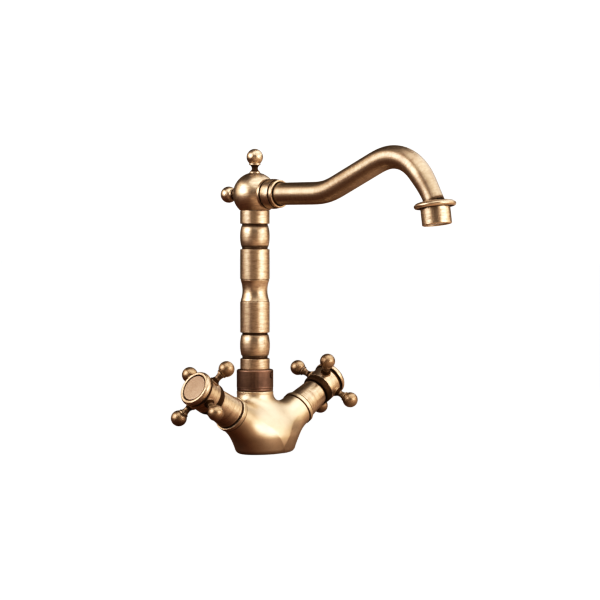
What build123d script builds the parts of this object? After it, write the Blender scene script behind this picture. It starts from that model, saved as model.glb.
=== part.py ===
"""Two-handle basin mixer with a turned column, a globe head and a swivelling spout.

The origin is the mouth of the stud hole, in the middle of the base's underside.
+Z is up, the spout at rest points towards -Y, and the arms leave along -X and +X.
Millimetres throughout.
"""

import os
from math import cos, radians, sin, sqrt, tan

from build123d import *

os.makedirs("parts", exist_ok=True)

# ---------------------------------------------------------------- fits
RUN_FIT = 0.05            # radial clearance of a turning fit
SEAT_GAP = 0.05           # clearance of a bolted or screwed seat
FACE_GAP = 0.30           # free gap between pieces that turn past each other
RING_FIT = 0.02           # clearance around an O-ring in its groove

# ---------------------------------------------------------------- base and body casting
BASE_HALF_X = 30.5        # base oval, half length across the arms
BASE_HALF_Y = 21.7        # base oval, half depth
BASE_DRAFT = 2.0          # the oval is this much smaller at its foot, each side
BASE_DRAFT_HEIGHT = 14.0
BASE_SIDE_HEIGHT = 20.0   # where the shoulder starts
BASE_EDGE = 3.6           # rounding of the foot
STUD_TAP_R = 3.4          # M8 tapping hole
STUD_DEPTH = 15.0
INLET_TAP_R = 4.5         # M10x1 tapping hole
INLET_DEPTH = 12.0
INLET_OFFSET = 13.0       # of each hose inlet from the stud
WATERWAY_R = 3.0
SEAL_INSET = 4.6          # of the base seal from the oval's foot
SEAL_WIDTH = 2.4
SEAL_DEPTH = 1.6

# ---------------------------------------------------------------- column and swivel joint
COLUMN_Y = 12.4           # the column stands behind the plane of the arms
NECK_R = 16.0
NECK_TOP = 52.9
NECK_BOTTOM = 45.0        # where the shoulder has closed in to the neck
NECK_BURIED = 10.0        # reach of the neck down inside the shoulder
SPIGOT_R = 13.2           # G3/4 outside thread under the nut
SPIGOT_HEIGHT = 12.6
NUT_HEIGHT = 18.8
NUT_R = 16.0
NUT_LIP = 2.6             # thickness of the nut's top lip
NUT_BEVEL = 1.2
GRUB_R = 2.0
GRUB_ANGLE = 18.7         # degrees from the front towards +X
GRUB_PROUD = 0.4
GRUB_HEX_R = 1.1
GRUB_HEX_DEPTH = 1.2
WASHER_THICK = 0.9        # slip washer under the split ring
SPLIT_RING_THICK = 2.2
SPLIT_RING_SLOT = 1.6
SPLIT_GROOVE_R = 9.0      # groove in the column that it snaps into
TAIL_R = 10.0             # column tail inside the body
TAIL_DEPTH = 25.0         # below the spigot's rim
COLUMN_BORE_R = 7.0
COLUMN_SHANK_R = 10.9     # plain part that turns in the nut's lip
O_RING_THICK = 1.4
TAIL_RING_SHARES = (0.2, 0.45)    # heights of its two O-rings, as shares of the tail's depth
MIX_CHAMBER_R = 8.0
MIX_CHAMBER_DEPTH = 10.0

COLLAR_R = 12.85          # turned bands of the column, from the bottom up
COLLAR_HEIGHT = 9.2
LOW_GROOVE = 2.5
LOW_BARREL_HEIGHT = 18.2
MIDDLE_GROOVE = 1.9
LOW_CYLINDER_HEIGHT = 27.2
WAIST_HEIGHT = 19.1
TOP_CYLINDER_HEIGHT = 26.3
HIGH_GROOVE = 1.6
TOP_BARREL_HEIGHT = 18.9
TOP_GROOVE = 1.5
TOP_COLLAR_HEIGHT = 11.5
GROOVE_R = 11.2
BARREL_R = 13.0
BARREL_END_R = 11.8
TOP_BARREL_R = 12.9
TOP_BARREL_END_R = 11.5
CYLINDER_R = 12.85
WAIST_R = 11.0
WAIST_END_R = 12.5

# ---------------------------------------------------------------- globe head and finials
GLOBE_R = 19.1
GLOBE_WALL = 8.0
SOCKET_R = 9.0            # spigots of the column and of the collar in the globe
SOCKET_DEPTH = 6.0
FINIAL_BALL_R = 7.2
FINIAL_REACH = 32.2       # ball centre from the globe's centre
FINIAL_RING_R = 5.0
FINIAL_RING_THICK = 1.7
FINIAL_SEAT = 18.3        # flat on the globe that the finial screws down to
FINIAL_NECK_R = 2.7
FINIAL_FLARE_R = 4.7
FINIAL_THREAD_R = 2.5
FINIAL_THREAD_LENGTH = 6.0
RING_SINK = 0.97          # ring's back face below a ball's centre, as a share of the ball's radius
ROOT_SHARE = 0.2          # straight part of a ball's stem, as a share of seat to ring
FLARE_SHARE = 0.9         # stem radius where it meets the ring, as a share of the ring's

# ---------------------------------------------------------------- spout
GLAND_R = 12.9            # ringed collar in front of the globe
GLAND_START = 14.0        # its back face, from the column's axis
GLAND_LENGTH = 17.0
GLAND_GROOVE_R = 11.7
GLAND_BACK_RING = 3.2
GLAND_GROOVE = 1.1
GLAND_LIP_R = 12.1
GLAND_LIP = 3.2
GLAND_BORE_R = 6.5
GLAND_SPIGOT = 4.6        # stops short of the column's spigot
TUBE_R = 9.65
TUBE_WALL = 1.4
TUBE_END_R = 8.4
TUBE_INSERT = 14.0        # length of tube inside the collar
STRAIGHT_RUN = 44.0       # tube in front of the collar, up to its first bend
RISE_ANGLE = 23.5
RISE_BEND_R = 45.0
RISE_LENGTH = 55.5
CROWN_R = 36.0
CROWN_ANGLE = 73.5
DROP_R = 120.0
DROP_ANGLE = 11.3
TUBE_TIP = 6.0            # straight end inside the flange
TIP_SINK = 1.5            # of that end below the flange's top

FLANGE_R = 17.2
FLANGE_THICK = 5.6
FLANGE_EDGE = 2.2
FLANGE_SPIGOT_LENGTH = 4.0
NOZZLE_TILT = 8.3         # the outlet's lean from vertical, outwards
HOUSING_R = 12.1
HOUSING_LENGTH = 14.0
HOUSING_WALL = 1.6
OUTLET_R = 7.0
HOUSING_LIP = 1.0
HOUSING_MOUTH_R = 9.2
NOZZLE_WASHER = 1.5
SCREEN_THICK = 1.0
INSERT_HOLE_R = 0.9
INSERT_RINGS = {3.0: 6, 5.6: 12, 8.2: 18}    # radius of each ring of holes, and its holes
SCREEN_BAR = 0.7
SCREEN_BARS = 5

# ---------------------------------------------------------------- arms, valves and handles
ARM_TILT = 30.0           # rise of each arm
ARM_START_Z = 12.1        # where the arms' axes cross
ARM_LENGTH = 49.5         # from that crossing to the arm's rim
ARM_R = 15.0
ARM_RIM_R = 15.65
ARM_RIM_WIDTH = 4.5
ARM_ROOT_R = 16.6
ARM_BURIED = 10.0         # where each arm begins, inside the base
VALVE_THREAD_R = 9.5      # G1/2 seat of the valve body
VALVE_DEPTH = 22.5        # of that seat below the rim
SEAL_BORE_R = 7.5
SEAL_HEIGHT = 4.6
VALVE_FLANGE_R = 11.6
VALVE_FLANGE_THICK = 4.0
VALVE_BARREL_R = 8.6
VALVE_TOP = 27.0          # valve body above the rim
VALVE_CAVITY_R = 7.2
VALVE_CAVITY = 14.3
WINDOW_R = 2.2            # outlet windows of the valve body
STEM_R = 4.0
STEM_HEAD_R = 6.8
STEM_ABOVE_VALVE = 11.0
DISC_R = 7.0
DISC_THICK = 3.2
PORT_R = 2.0
PORT_OFFSET = 3.4
STEM_HEAD = 3.0
STEM_RING_THICK = 1.0
STEM_RING_HEIGHTS = (20.0, 23.0)
SLEEVE_FOOT_R = 14.35
SLEEVE_FOOT = 1.5
SLEEVE_R = 14.0
SLEEVE_TOP_R = 12.1
SLEEVE_WALL = 1.5
SLEEVE_LENGTH = 24.0
SLEEVE_CAP_THICK = 3.0
HUB_BACK = 24.7           # hub's back face above the arm's rim
HUB_BACK_R = 13.2
HUB_SKIRT = 5.7           # flared back part of the hub
HUB_R = 14.25
HUB_LENGTH = 18.8
HUB_FLOOR = 2.5           # recess in the hub's front, for the cap's spigot
HUB_RECESS = 3.5          # recess in its back, around the valve body
HUB_GROOVE_R = 12.9
HUB_GROOVE = 1.0
CAP_R = 15.5
CAP_THICK = 4.8
CAP_EDGE = 1.5
CAP_BORE_R = 10.4
INDEX_R = 11.65
INDEX_THICK = 1.5
INDEX_SINK = 0.4          # index disc below the cap's face
INDEX_GROOVE = 0.35       # open groove around it
SPOKE_REACH = 29.2        # ball centre from the handle's axis
SPOKE_HEIGHT = 37.4       # spokes' plane above the arm's rim
SPOKE_BALL_R = 6.8
SPOKE_NECK_R = 2.7
SPOKE_ROOT_R = 4.6
SPOKE_SEAT = 13.3         # flat in the hub's side that the spoke screws down to
HUB_SWEEP = 1.0           # cutters run this far past the hub's side
SPOKE_RING_R = 4.35
SPOKE_RING_THICK = 1.3
SPOKE_THREAD_R = 2.0
SPOKE_THREAD_LENGTH = 4.0
SCREW_R = 2.4
SCREW_LENGTH = 8.0
SCREW_HEAD_R = 4.4
SCREW_HEAD_THICK = 2.6
SPOKES = 4
SPOKE_ANGLES = {"left": 55.9, "right": 32.5}    # of one spoke when closed, from the front

# ---------------------------------------------------------------- heights that follow
SPIGOT_TOP = NECK_TOP + SPIGOT_HEIGHT
WASHER_Z = SPIGOT_TOP + SEAT_GAP
SPLIT_RING_Z = WASHER_Z + WASHER_THICK + SEAT_GAP
NUT_TOP = NECK_TOP + NUT_HEIGHT
COLUMN_Z = NUT_TOP + FACE_GAP
TAIL_Z = SPIGOT_TOP - TAIL_DEPTH
TAIL_TOP = SPLIT_RING_Z + SPLIT_RING_THICK + SEAT_GAP
LOW_BARREL_Z = COLUMN_Z + COLLAR_HEIGHT + LOW_GROOVE
LOW_CYLINDER_Z = LOW_BARREL_Z + LOW_BARREL_HEIGHT + MIDDLE_GROOVE
WAIST_Z = LOW_CYLINDER_Z + LOW_CYLINDER_HEIGHT
TOP_CYLINDER_Z = WAIST_Z + WAIST_HEIGHT
TOP_BARREL_Z = TOP_CYLINDER_Z + TOP_CYLINDER_HEIGHT + HIGH_GROOVE
TOP_COLLAR_Z = TOP_BARREL_Z + TOP_BARREL_HEIGHT + TOP_GROOVE
COLUMN_TOP = TOP_COLLAR_Z + TOP_COLLAR_HEIGHT
GLOBE_Z = COLUMN_TOP + SEAT_GAP + sqrt(GLOBE_R**2 - COLLAR_R**2)
TAIL_RING_HEIGHTS = [TAIL_Z + share * TAIL_DEPTH for share in TAIL_RING_SHARES]
TAIL_RING_R = TAIL_R + RUN_FIT - RING_FIT - O_RING_THICK / 2
STEM_RING_R = STEM_R + RUN_FIT - RING_FIT - STEM_RING_THICK / 2
VALVE_Z = RUN_FIT - VALVE_DEPTH + FACE_GAP
FIXED_DISC_Z = VALVE_Z + SEAT_GAP
MOVING_DISC_Z = FIXED_DISC_Z + DISC_THICK + SEAT_GAP
STEM_Z = MOVING_DISC_Z + DISC_THICK + SEAT_GAP
STEM_TOP = VALVE_TOP + STEM_ABOVE_VALVE
HUB_TOP = HUB_BACK + HUB_LENGTH
HUB_FLOOR_Z = HUB_TOP - HUB_FLOOR
CAP_Z = HUB_TOP + HUB_GROOVE
CAP_TOP = CAP_Z + CAP_THICK
INDEX_Z = CAP_TOP - INDEX_SINK - INDEX_THICK
ARM_SIDES = {"left": -1, "right": 1}

GLAND_END = GLAND_START + GLAND_LENGTH
TUBE_START = GLAND_END - TUBE_INSERT
HOUSING_BORE_R = HOUSING_R - HOUSING_WALL
HOUSING_Z = FLANGE_THICK + SEAT_GAP
HOUSING_END = HOUSING_Z + HOUSING_LENGTH
NOZZLE_WASHER_Z = FLANGE_THICK + FLANGE_SPIGOT_LENGTH + SEAT_GAP
INSERT_Z = NOZZLE_WASHER_Z + NOZZLE_WASHER
SCREEN_Z = HOUSING_END - HOUSING_LIP - SEAT_GAP - SCREEN_THICK

FRONT = Vector(0, -1, 0)
COLUMN_PLANE = Plane((0, COLUMN_Y, 0), x_dir=(1, 0, 0), z_dir=(0, 0, 1))
GLOBE_CENTRE = Vector(0, COLUMN_Y, GLOBE_Z)
GLAND_PLANE = Plane(GLOBE_CENTRE, x_dir=(1, 0, 0), z_dir=FRONT)
SPOUT_PLANE = Plane((0, COLUMN_Y, 0), x_dir=FRONT, z_dir=(-1, 0, 0))
FINIAL_PLANES = {
    "top": Plane(GLOBE_CENTRE, x_dir=(1, 0, 0), z_dir=(0, 0, 1)),
    "rear": Plane(GLOBE_CENTRE, x_dir=(1, 0, 0), z_dir=(0, 1, 0)),
}


def turning_plane(axis_plane):
    """Plane through an axis: local x is the radius and local y runs along the axis."""
    return Plane(axis_plane.origin, x_dir=axis_plane.x_dir, z_dir=-axis_plane.y_dir)


def axis_of(axis_plane):
    """The line through a plane's origin along its normal."""
    return Axis(axis_plane.origin, axis_plane.z_dir)


def turn_outline(axis_plane, outline, mode=Mode.ADD):
    """Turn a closed outline of (radius, height) points about the plane's normal."""
    with BuildSketch(turning_plane(axis_plane)) as profile:
        with BuildLine():
            Polyline(*outline, close=True)
        make_face()
    revolve(profile.sketch, axis=axis_of(axis_plane), mode=mode)


def turn_ring(axis_plane, inner, outer, low, high, mode=Mode.ADD):
    """Turn a square-cut ring or, with no inner radius, a plain cylinder."""
    turn_outline(axis_plane, [(inner, low), (outer, low), (outer, high), (inner, high)], mode)


def turn_o_ring(axis_plane, middle, thick, height):
    """Turn a round rubber section about the plane's normal."""
    with BuildSketch(turning_plane(axis_plane)) as section_face:
        with Locations((middle, height)):
            Circle(thick / 2)
    revolve(section_face.sketch, axis=axis_of(axis_plane))


def save(part, name):
    """Label one finished piece and write it as its own file."""
    part.label = name
    export_step(part, f"parts/{name}.step")


def arm_plane(side, distance=0.0):
    """Plane across an arm: its normal runs out along the arm, its x to the front."""
    tilt = radians(ARM_TILT)
    outwards = Vector(side * cos(tilt), 0, sin(tilt))
    return Plane(Vector(0, 0, ARM_START_Z) + outwards * distance, x_dir=FRONT, z_dir=outwards)


def rim_plane(side):
    """Plane of the arm's rim, from which valve and handle heights are measured."""
    return arm_plane(side, ARM_LENGTH)


def cut_ring_groove(axis_plane, middle, thick, height):
    """Cut the square groove that an O-ring lies in, open on its outer side."""
    half = thick / 2 + RING_FIT
    turn_ring(axis_plane, middle - half, middle + thick, height - half, height + half, Mode.SUBTRACT)


def turn_ball_stem(
    axis_plane, seat, reach, ball_r, ring_r, ring_thick, neck_r, root_r, thread_r, thread_length
):
    """Turned ball on a waisted neck: thread, flared root, neck, ring and ball."""
    ring_low = reach - RING_SINK * ball_r
    ring_high = ring_low + ring_thick
    root_top = seat + ROOT_SHARE * (ring_low - seat)
    neck_height = (root_top + ring_low) / 2
    flare_r = FLARE_SHARE * ring_r
    ball_start_r = sqrt(ball_r**2 - (reach - ring_high) ** 2)
    with BuildSketch(turning_plane(axis_plane)) as profile:
        with BuildLine():
            Polyline(
                (0, seat - thread_length),
                (thread_r, seat - thread_length),
                (thread_r, seat),
                (root_r, seat),
                (root_r, root_top),
            )
            ThreePointArc((root_r, root_top), (neck_r, neck_height), (flare_r, ring_low))
            Polyline(
                (flare_r, ring_low),
                (ring_r, ring_low),
                (ring_r, ring_high),
                (ball_start_r, ring_high),
            )
            ThreePointArc((ball_start_r, ring_high), (ball_r, reach), (0, reach + ball_r))
            Line((0, reach + ball_r), (0, seat - thread_length))
        make_face()
    revolve(profile.sketch, axis=axis_of(axis_plane))


def seal_oval(inset, mode=Mode.ADD):
    """Oval parallel to the base's foot."""
    Ellipse(BASE_HALF_X - BASE_DRAFT - inset, BASE_HALF_Y - BASE_DRAFT - inset, mode=mode)


def grub_plane():
    """Plane at the column's axis whose normal points out through the grub screw."""
    turn = radians(GRUB_ANGLE)
    height = NUT_TOP - NUT_LIP - GRUB_R
    return Plane((0, COLUMN_Y, height), z_dir=(sin(turn), -cos(turn), 0))


def spoke_plane(rim, angle):
    """Plane at the handle's axis whose normal points along one spoke."""
    turn = radians(angle)
    outwards = rim.x_dir * cos(turn) + rim.y_dir * sin(turn)
    return Plane(rim.offset(SPOKE_HEIGHT).origin, x_dir=rim.z_dir, z_dir=outwards)


def gland_outline():
    """Outline of the ringed collar: spigot, back ring, groove, wide band and front lip."""
    front_groove = GLAND_END - GLAND_LIP - GLAND_GROOVE
    return [
        (GLAND_BORE_R, GLAND_START - GLAND_SPIGOT),
        (SOCKET_R, GLAND_START - GLAND_SPIGOT),
        (SOCKET_R, GLAND_START),
        (GLAND_R, GLAND_START),
        (GLAND_R, GLAND_START + GLAND_BACK_RING),
        (GLAND_GROOVE_R, GLAND_START + GLAND_BACK_RING),
        (GLAND_GROOVE_R, GLAND_START + GLAND_BACK_RING + GLAND_GROOVE),
        (GLAND_R, GLAND_START + GLAND_BACK_RING + GLAND_GROOVE),
        (GLAND_R, front_groove),
        (GLAND_GROOVE_R, front_groove),
        (GLAND_GROOVE_R, GLAND_END - GLAND_LIP),
        (GLAND_LIP_R, GLAND_END - GLAND_LIP),
        (GLAND_LIP_R, GLAND_END),
        (TUBE_R + SEAT_GAP, GLAND_END),
        (TUBE_R + SEAT_GAP, TUBE_START - SEAT_GAP),
        (GLAND_BORE_R, TUBE_START - SEAT_GAP),
    ]


# ---------------------------------------------------------------- base and body casting
def cut_waterways():
    """Stud hole, hose inlets, valve seats, mixing chamber and the passages between them."""
    chamber_floor = TAIL_Z - MIX_CHAMBER_DEPTH
    turn_ring(Plane.XY, 0, STUD_TAP_R, 0, STUD_DEPTH, Mode.SUBTRACT)
    turn_ring(COLUMN_PLANE, 0, TAIL_R + RUN_FIT, TAIL_Z - FACE_GAP, SPIGOT_TOP, Mode.SUBTRACT)
    turn_ring(COLUMN_PLANE, 0, MIX_CHAMBER_R, chamber_floor, TAIL_Z, Mode.SUBTRACT)
    for side in ARM_SIDES.values():
        seat = rim_plane(side)
        inlet = Plane.XY.move(Pos(side * INLET_OFFSET, 0, 0))
        inlet_top = ARM_START_Z + INLET_OFFSET * tan(radians(ARM_TILT))
        turn_ring(inlet, 0, INLET_TAP_R, 0, INLET_DEPTH, Mode.SUBTRACT)
        turn_ring(inlet, 0, WATERWAY_R, INLET_DEPTH, inlet_top, Mode.SUBTRACT)
        pilot_end = INLET_OFFSET / cos(radians(ARM_TILT)) - ARM_LENGTH
        turn_ring(seat, 0, VALVE_THREAD_R, -VALVE_DEPTH, 0, Mode.SUBTRACT)
        turn_ring(seat, 0, SEAL_BORE_R, -VALVE_DEPTH - SEAL_HEIGHT, -VALVE_DEPTH, Mode.SUBTRACT)
        turn_ring(seat, 0, WATERWAY_R, pilot_end, -VALVE_DEPTH - SEAL_HEIGHT, Mode.SUBTRACT)
        outlet = arm_plane(side, ARM_LENGTH - VALVE_DEPTH / 2).origin
        mixed = Vector(0, COLUMN_Y, TAIL_Z - MIX_CHAMBER_DEPTH / 2)
        passage = Plane(mixed, z_dir=outlet - mixed)
        turn_ring(passage, 0, WATERWAY_R, 0, (outlet - mixed).length, Mode.SUBTRACT)


def arm_outline():
    """Outline of one arm: a slightly tapered tube with a raised round rim."""
    rim_start = ARM_LENGTH - ARM_RIM_WIDTH
    return [
        (0, ARM_BURIED),
        (ARM_ROOT_R, ARM_BURIED),
        (ARM_R, rim_start),
        (ARM_RIM_R, rim_start + (ARM_RIM_R - ARM_R)),
        (ARM_RIM_R, ARM_LENGTH),
        (0, ARM_LENGTH),
    ]


with BuildPart() as body_casting:
    with BuildSketch(Plane.XY):
        Ellipse(BASE_HALF_X - BASE_DRAFT, BASE_HALF_Y - BASE_DRAFT)
    with BuildSketch(Plane.XY.offset(BASE_DRAFT_HEIGHT)):
        Ellipse(BASE_HALF_X, BASE_HALF_Y)
    loft()
    fillet(body_casting.edges().group_by(Axis.Z)[0], BASE_EDGE)
    with BuildSketch(Plane.XY.offset(BASE_DRAFT_HEIGHT)):
        Ellipse(BASE_HALF_X, BASE_HALF_Y)
    extrude(amount=BASE_SIDE_HEIGHT - BASE_DRAFT_HEIGHT)
    with BuildSketch(Plane.XY.offset(BASE_SIDE_HEIGHT)):
        Ellipse(BASE_HALF_X, BASE_HALF_Y)
    with BuildSketch(Plane.XY.offset(NECK_BOTTOM)):
        with Locations((0, COLUMN_Y)):
            Circle(NECK_R)
    loft()
    for arm_side in ARM_SIDES.values():
        turn_outline(arm_plane(arm_side), arm_outline())
    turn_ring(COLUMN_PLANE, 0, NECK_R, NECK_BOTTOM - NECK_BURIED, NECK_TOP)
    turn_ring(COLUMN_PLANE, 0, SPIGOT_R, NECK_TOP, SPIGOT_TOP)
    cut_waterways()
    with BuildSketch(Plane.XY):
        seal_oval(SEAL_INSET - SEAT_GAP)
        seal_oval(SEAL_INSET + SEAL_WIDTH + SEAT_GAP, Mode.SUBTRACT)
    extrude(amount=SEAL_DEPTH, mode=Mode.SUBTRACT)
save(body_casting.part, "body_casting")

with BuildPart() as base_seal:
    with BuildSketch(Plane.XY.offset(SEAT_GAP)):
        seal_oval(SEAL_INSET)
        seal_oval(SEAL_INSET + SEAL_WIDTH, Mode.SUBTRACT)
    extrude(amount=SEAL_DEPTH - 2 * SEAT_GAP)
save(base_seal.part, "base_seal")


# ---------------------------------------------------------------- swivel joint
with BuildPart() as swivel_nut:
    turn_outline(COLUMN_PLANE, [
        (SPIGOT_R + SEAT_GAP, NECK_TOP + SEAT_GAP),
        (NUT_R - NUT_BEVEL, NECK_TOP + SEAT_GAP),
        (NUT_R, NECK_TOP + SEAT_GAP + NUT_BEVEL),
        (NUT_R, NUT_TOP - NUT_BEVEL / 2),
        (NUT_R - NUT_BEVEL / 2, NUT_TOP),
        (COLUMN_SHANK_R + RUN_FIT, NUT_TOP),
        (COLUMN_SHANK_R + RUN_FIT, NUT_TOP - NUT_LIP),
        (SPIGOT_R + SEAT_GAP, NUT_TOP - NUT_LIP),
    ])
    turn_ring(grub_plane(), 0, GRUB_R + SEAT_GAP, 0, NUT_R, Mode.SUBTRACT)
save(swivel_nut.part, "swivel_nut")

with BuildPart() as grub_screw:
    turn_ring(grub_plane(), 0, GRUB_R, SPIGOT_R + FACE_GAP, NUT_R + GRUB_PROUD)
    with BuildSketch(grub_plane().offset(NUT_R + GRUB_PROUD)):
        RegularPolygon(GRUB_HEX_R, 6)
    extrude(amount=-GRUB_HEX_DEPTH, mode=Mode.SUBTRACT)
save(grub_screw.part, "grub_screw")

with BuildPart() as slip_washer:
    turn_ring(COLUMN_PLANE, TAIL_R + RUN_FIT, SPIGOT_R - FACE_GAP, WASHER_Z, WASHER_Z + WASHER_THICK)
save(slip_washer.part, "slip_washer")

with BuildPart() as split_ring:
    turn_ring(
        COLUMN_PLANE,
        SPLIT_GROOVE_R + SEAT_GAP,
        SPIGOT_R - FACE_GAP,
        SPLIT_RING_Z,
        SPLIT_RING_Z + SPLIT_RING_THICK,
    )
    with BuildSketch(Plane.XY.offset(SPLIT_RING_Z)):
        with Locations((0, COLUMN_Y + NUT_R / 2)):
            Rectangle(SPLIT_RING_SLOT, NUT_R)
    extrude(amount=SPLIT_RING_THICK, mode=Mode.SUBTRACT)
save(split_ring.part, "split_ring")


# ---------------------------------------------------------------- turned column
with BuildPart() as column:
    with BuildSketch(turning_plane(COLUMN_PLANE)):
        with BuildLine():
            Polyline(
                (COLUMN_BORE_R, TAIL_Z),
                (TAIL_R, TAIL_Z),
                (TAIL_R, SPLIT_RING_Z - SEAT_GAP),
                (SPLIT_GROOVE_R, SPLIT_RING_Z - SEAT_GAP),
                (SPLIT_GROOVE_R, TAIL_TOP),
                (COLUMN_SHANK_R, TAIL_TOP),
                (COLUMN_SHANK_R, COLUMN_Z),
                (COLLAR_R, COLUMN_Z),
                (COLLAR_R, LOW_BARREL_Z - LOW_GROOVE),
                (GROOVE_R, LOW_BARREL_Z - LOW_GROOVE),
                (GROOVE_R, LOW_BARREL_Z),
                (BARREL_END_R, LOW_BARREL_Z),
            )
            ThreePointArc(
                (BARREL_END_R, LOW_BARREL_Z),
                (BARREL_R, LOW_BARREL_Z + LOW_BARREL_HEIGHT / 2),
                (BARREL_END_R, LOW_BARREL_Z + LOW_BARREL_HEIGHT),
            )
            Polyline(
                (BARREL_END_R, LOW_BARREL_Z + LOW_BARREL_HEIGHT),
                (GROOVE_R, LOW_BARREL_Z + LOW_BARREL_HEIGHT),
                (GROOVE_R, LOW_CYLINDER_Z),
                (CYLINDER_R, LOW_CYLINDER_Z),
                (CYLINDER_R, WAIST_Z),
                (WAIST_END_R, WAIST_Z),
            )
            ThreePointArc(
                (WAIST_END_R, WAIST_Z),
                (WAIST_R, WAIST_Z + WAIST_HEIGHT / 2),
                (WAIST_END_R, TOP_CYLINDER_Z),
            )
            Polyline(
                (WAIST_END_R, TOP_CYLINDER_Z),
                (CYLINDER_R, TOP_CYLINDER_Z),
                (CYLINDER_R, TOP_BARREL_Z - HIGH_GROOVE),
                (GROOVE_R, TOP_BARREL_Z - HIGH_GROOVE),
                (GROOVE_R, TOP_BARREL_Z),
                (TOP_BARREL_END_R, TOP_BARREL_Z),
            )
            ThreePointArc(
                (TOP_BARREL_END_R, TOP_BARREL_Z),
                (TOP_BARREL_R, TOP_BARREL_Z + TOP_BARREL_HEIGHT / 2),
                (TOP_BARREL_END_R, TOP_BARREL_Z + TOP_BARREL_HEIGHT),
            )
            Polyline(
                (TOP_BARREL_END_R, TOP_BARREL_Z + TOP_BARREL_HEIGHT),
                (GROOVE_R, TOP_BARREL_Z + TOP_BARREL_HEIGHT),
                (GROOVE_R, TOP_COLLAR_Z),
                (COLLAR_R, TOP_COLLAR_Z),
                (COLLAR_R, COLUMN_TOP),
                (SOCKET_R, COLUMN_TOP),
                (SOCKET_R, COLUMN_TOP + SOCKET_DEPTH),
                (COLUMN_BORE_R, COLUMN_TOP + SOCKET_DEPTH),
                (COLUMN_BORE_R, TAIL_Z),
            )
        make_face()
    revolve(axis=axis_of(COLUMN_PLANE))
    for ring_height in TAIL_RING_HEIGHTS:
        cut_ring_groove(COLUMN_PLANE, TAIL_RING_R, O_RING_THICK, ring_height)
save(column.part, "column")

with BuildPart() as tail_o_rings:
    for ring_height in TAIL_RING_HEIGHTS:
        turn_o_ring(COLUMN_PLANE, TAIL_RING_R, O_RING_THICK, ring_height)
save(tail_o_rings.part, "tail_o_rings")


# ---------------------------------------------------------------- globe head and finials
with BuildPart() as globe_head:
    with Locations(GLOBE_CENTRE):
        Sphere(GLOBE_R)
    turn_ring(COLUMN_PLANE, 0, GLOBE_R, GLOBE_Z - GLOBE_R, COLUMN_TOP + SEAT_GAP, Mode.SUBTRACT)
    turn_ring(GLAND_PLANE, 0, GLOBE_R, GLAND_START - SEAT_GAP, GLOBE_R, Mode.SUBTRACT)
    with Locations(GLOBE_CENTRE):
        Sphere(GLOBE_R - GLOBE_WALL, mode=Mode.SUBTRACT)
    turn_ring(COLUMN_PLANE, 0, SOCKET_R + SEAT_GAP, COLUMN_TOP, GLOBE_Z, Mode.SUBTRACT)
    turn_ring(GLAND_PLANE, 0, SOCKET_R + SEAT_GAP, 0, GLAND_START, Mode.SUBTRACT)
    for finial_plane in FINIAL_PLANES.values():
        thread_floor = FINIAL_SEAT - FINIAL_THREAD_LENGTH
        seat_low = FINIAL_SEAT - SEAT_GAP
        turn_ring(finial_plane, 0, FINIAL_FLARE_R + SEAT_GAP, seat_low, GLOBE_R, Mode.SUBTRACT)
        turn_ring(finial_plane, 0, FINIAL_THREAD_R + SEAT_GAP, thread_floor, FINIAL_SEAT, Mode.SUBTRACT)
save(globe_head.part, "globe_head")

for finial_name, finial_plane in FINIAL_PLANES.items():
    with BuildPart() as finial:
        turn_ball_stem(
            finial_plane,
            seat=FINIAL_SEAT,
            reach=FINIAL_REACH,
            ball_r=FINIAL_BALL_R,
            ring_r=FINIAL_RING_R,
            ring_thick=FINIAL_RING_THICK,
            neck_r=FINIAL_NECK_R,
            root_r=FINIAL_FLARE_R,
            thread_r=FINIAL_THREAD_R,
            thread_length=FINIAL_THREAD_LENGTH - SEAT_GAP,
        )
    save(finial.part, f"{finial_name}_finial")


# ---------------------------------------------------------------- spout
with BuildPart() as gland_ring:
    turn_outline(GLAND_PLANE, gland_outline())
save(gland_ring.part, "gland_ring")

with BuildLine(SPOUT_PLANE) as tube_route:
    straight = Line((TUBE_START, GLOBE_Z), (GLAND_END + STRAIGHT_RUN, GLOBE_Z))
    rise = JernArc(straight @ 1, straight % 1, RISE_BEND_R, RISE_ANGLE)
    slope = PolarLine(rise @ 1, RISE_LENGTH, direction=rise % 1)
    crown = JernArc(slope @ 1, slope % 1, CROWN_R, -CROWN_ANGLE)
with BuildLine(SPOUT_PLANE) as drop_route:
    drop = JernArc(crown @ 1, crown % 1, DROP_R, -DROP_ANGLE)
TUBE_START_PLANE = Plane(straight @ 0, x_dir=(1, 0, 0), z_dir=straight % 0)
DROP_PLANE = Plane(drop @ 0, x_dir=(1, 0, 0), z_dir=drop % 0)
TIP_PLANE = Plane(drop @ 1, x_dir=(1, 0, 0), z_dir=drop % 1)
NOZZLE_DIRECTION = Vector(0, -sin(radians(NOZZLE_TILT)), -cos(radians(NOZZLE_TILT)))
NOZZLE_PLANE = Plane(
    TIP_PLANE.offset(TUBE_TIP).origin - NOZZLE_DIRECTION * TIP_SINK,
    x_dir=(1, 0, 0),
    z_dir=NOZZLE_DIRECTION,
)


def taper_drop(wide, narrow, mode):
    """Sweep the spout's last bend from one radius down to another."""
    with BuildSketch(DROP_PLANE) as wide_end:
        Circle(wide)
    with BuildSketch(TIP_PLANE) as narrow_end:
        Circle(narrow)
    sweep([wide_end.sketch, narrow_end.sketch], path=drop_route.line, multisection=True, mode=mode)


with BuildPart() as spout_tube:
    with BuildSketch(TUBE_START_PLANE):
        Circle(TUBE_R)
        Circle(TUBE_R - TUBE_WALL, mode=Mode.SUBTRACT)
    sweep(path=tube_route.line)
    taper_drop(TUBE_R, TUBE_END_R, Mode.ADD)
    taper_drop(TUBE_R - TUBE_WALL, TUBE_END_R - TUBE_WALL, Mode.SUBTRACT)
    turn_ring(TIP_PLANE, TUBE_END_R - TUBE_WALL, TUBE_END_R, 0, TUBE_TIP)
save(spout_tube.part, "spout_tube")


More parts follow.
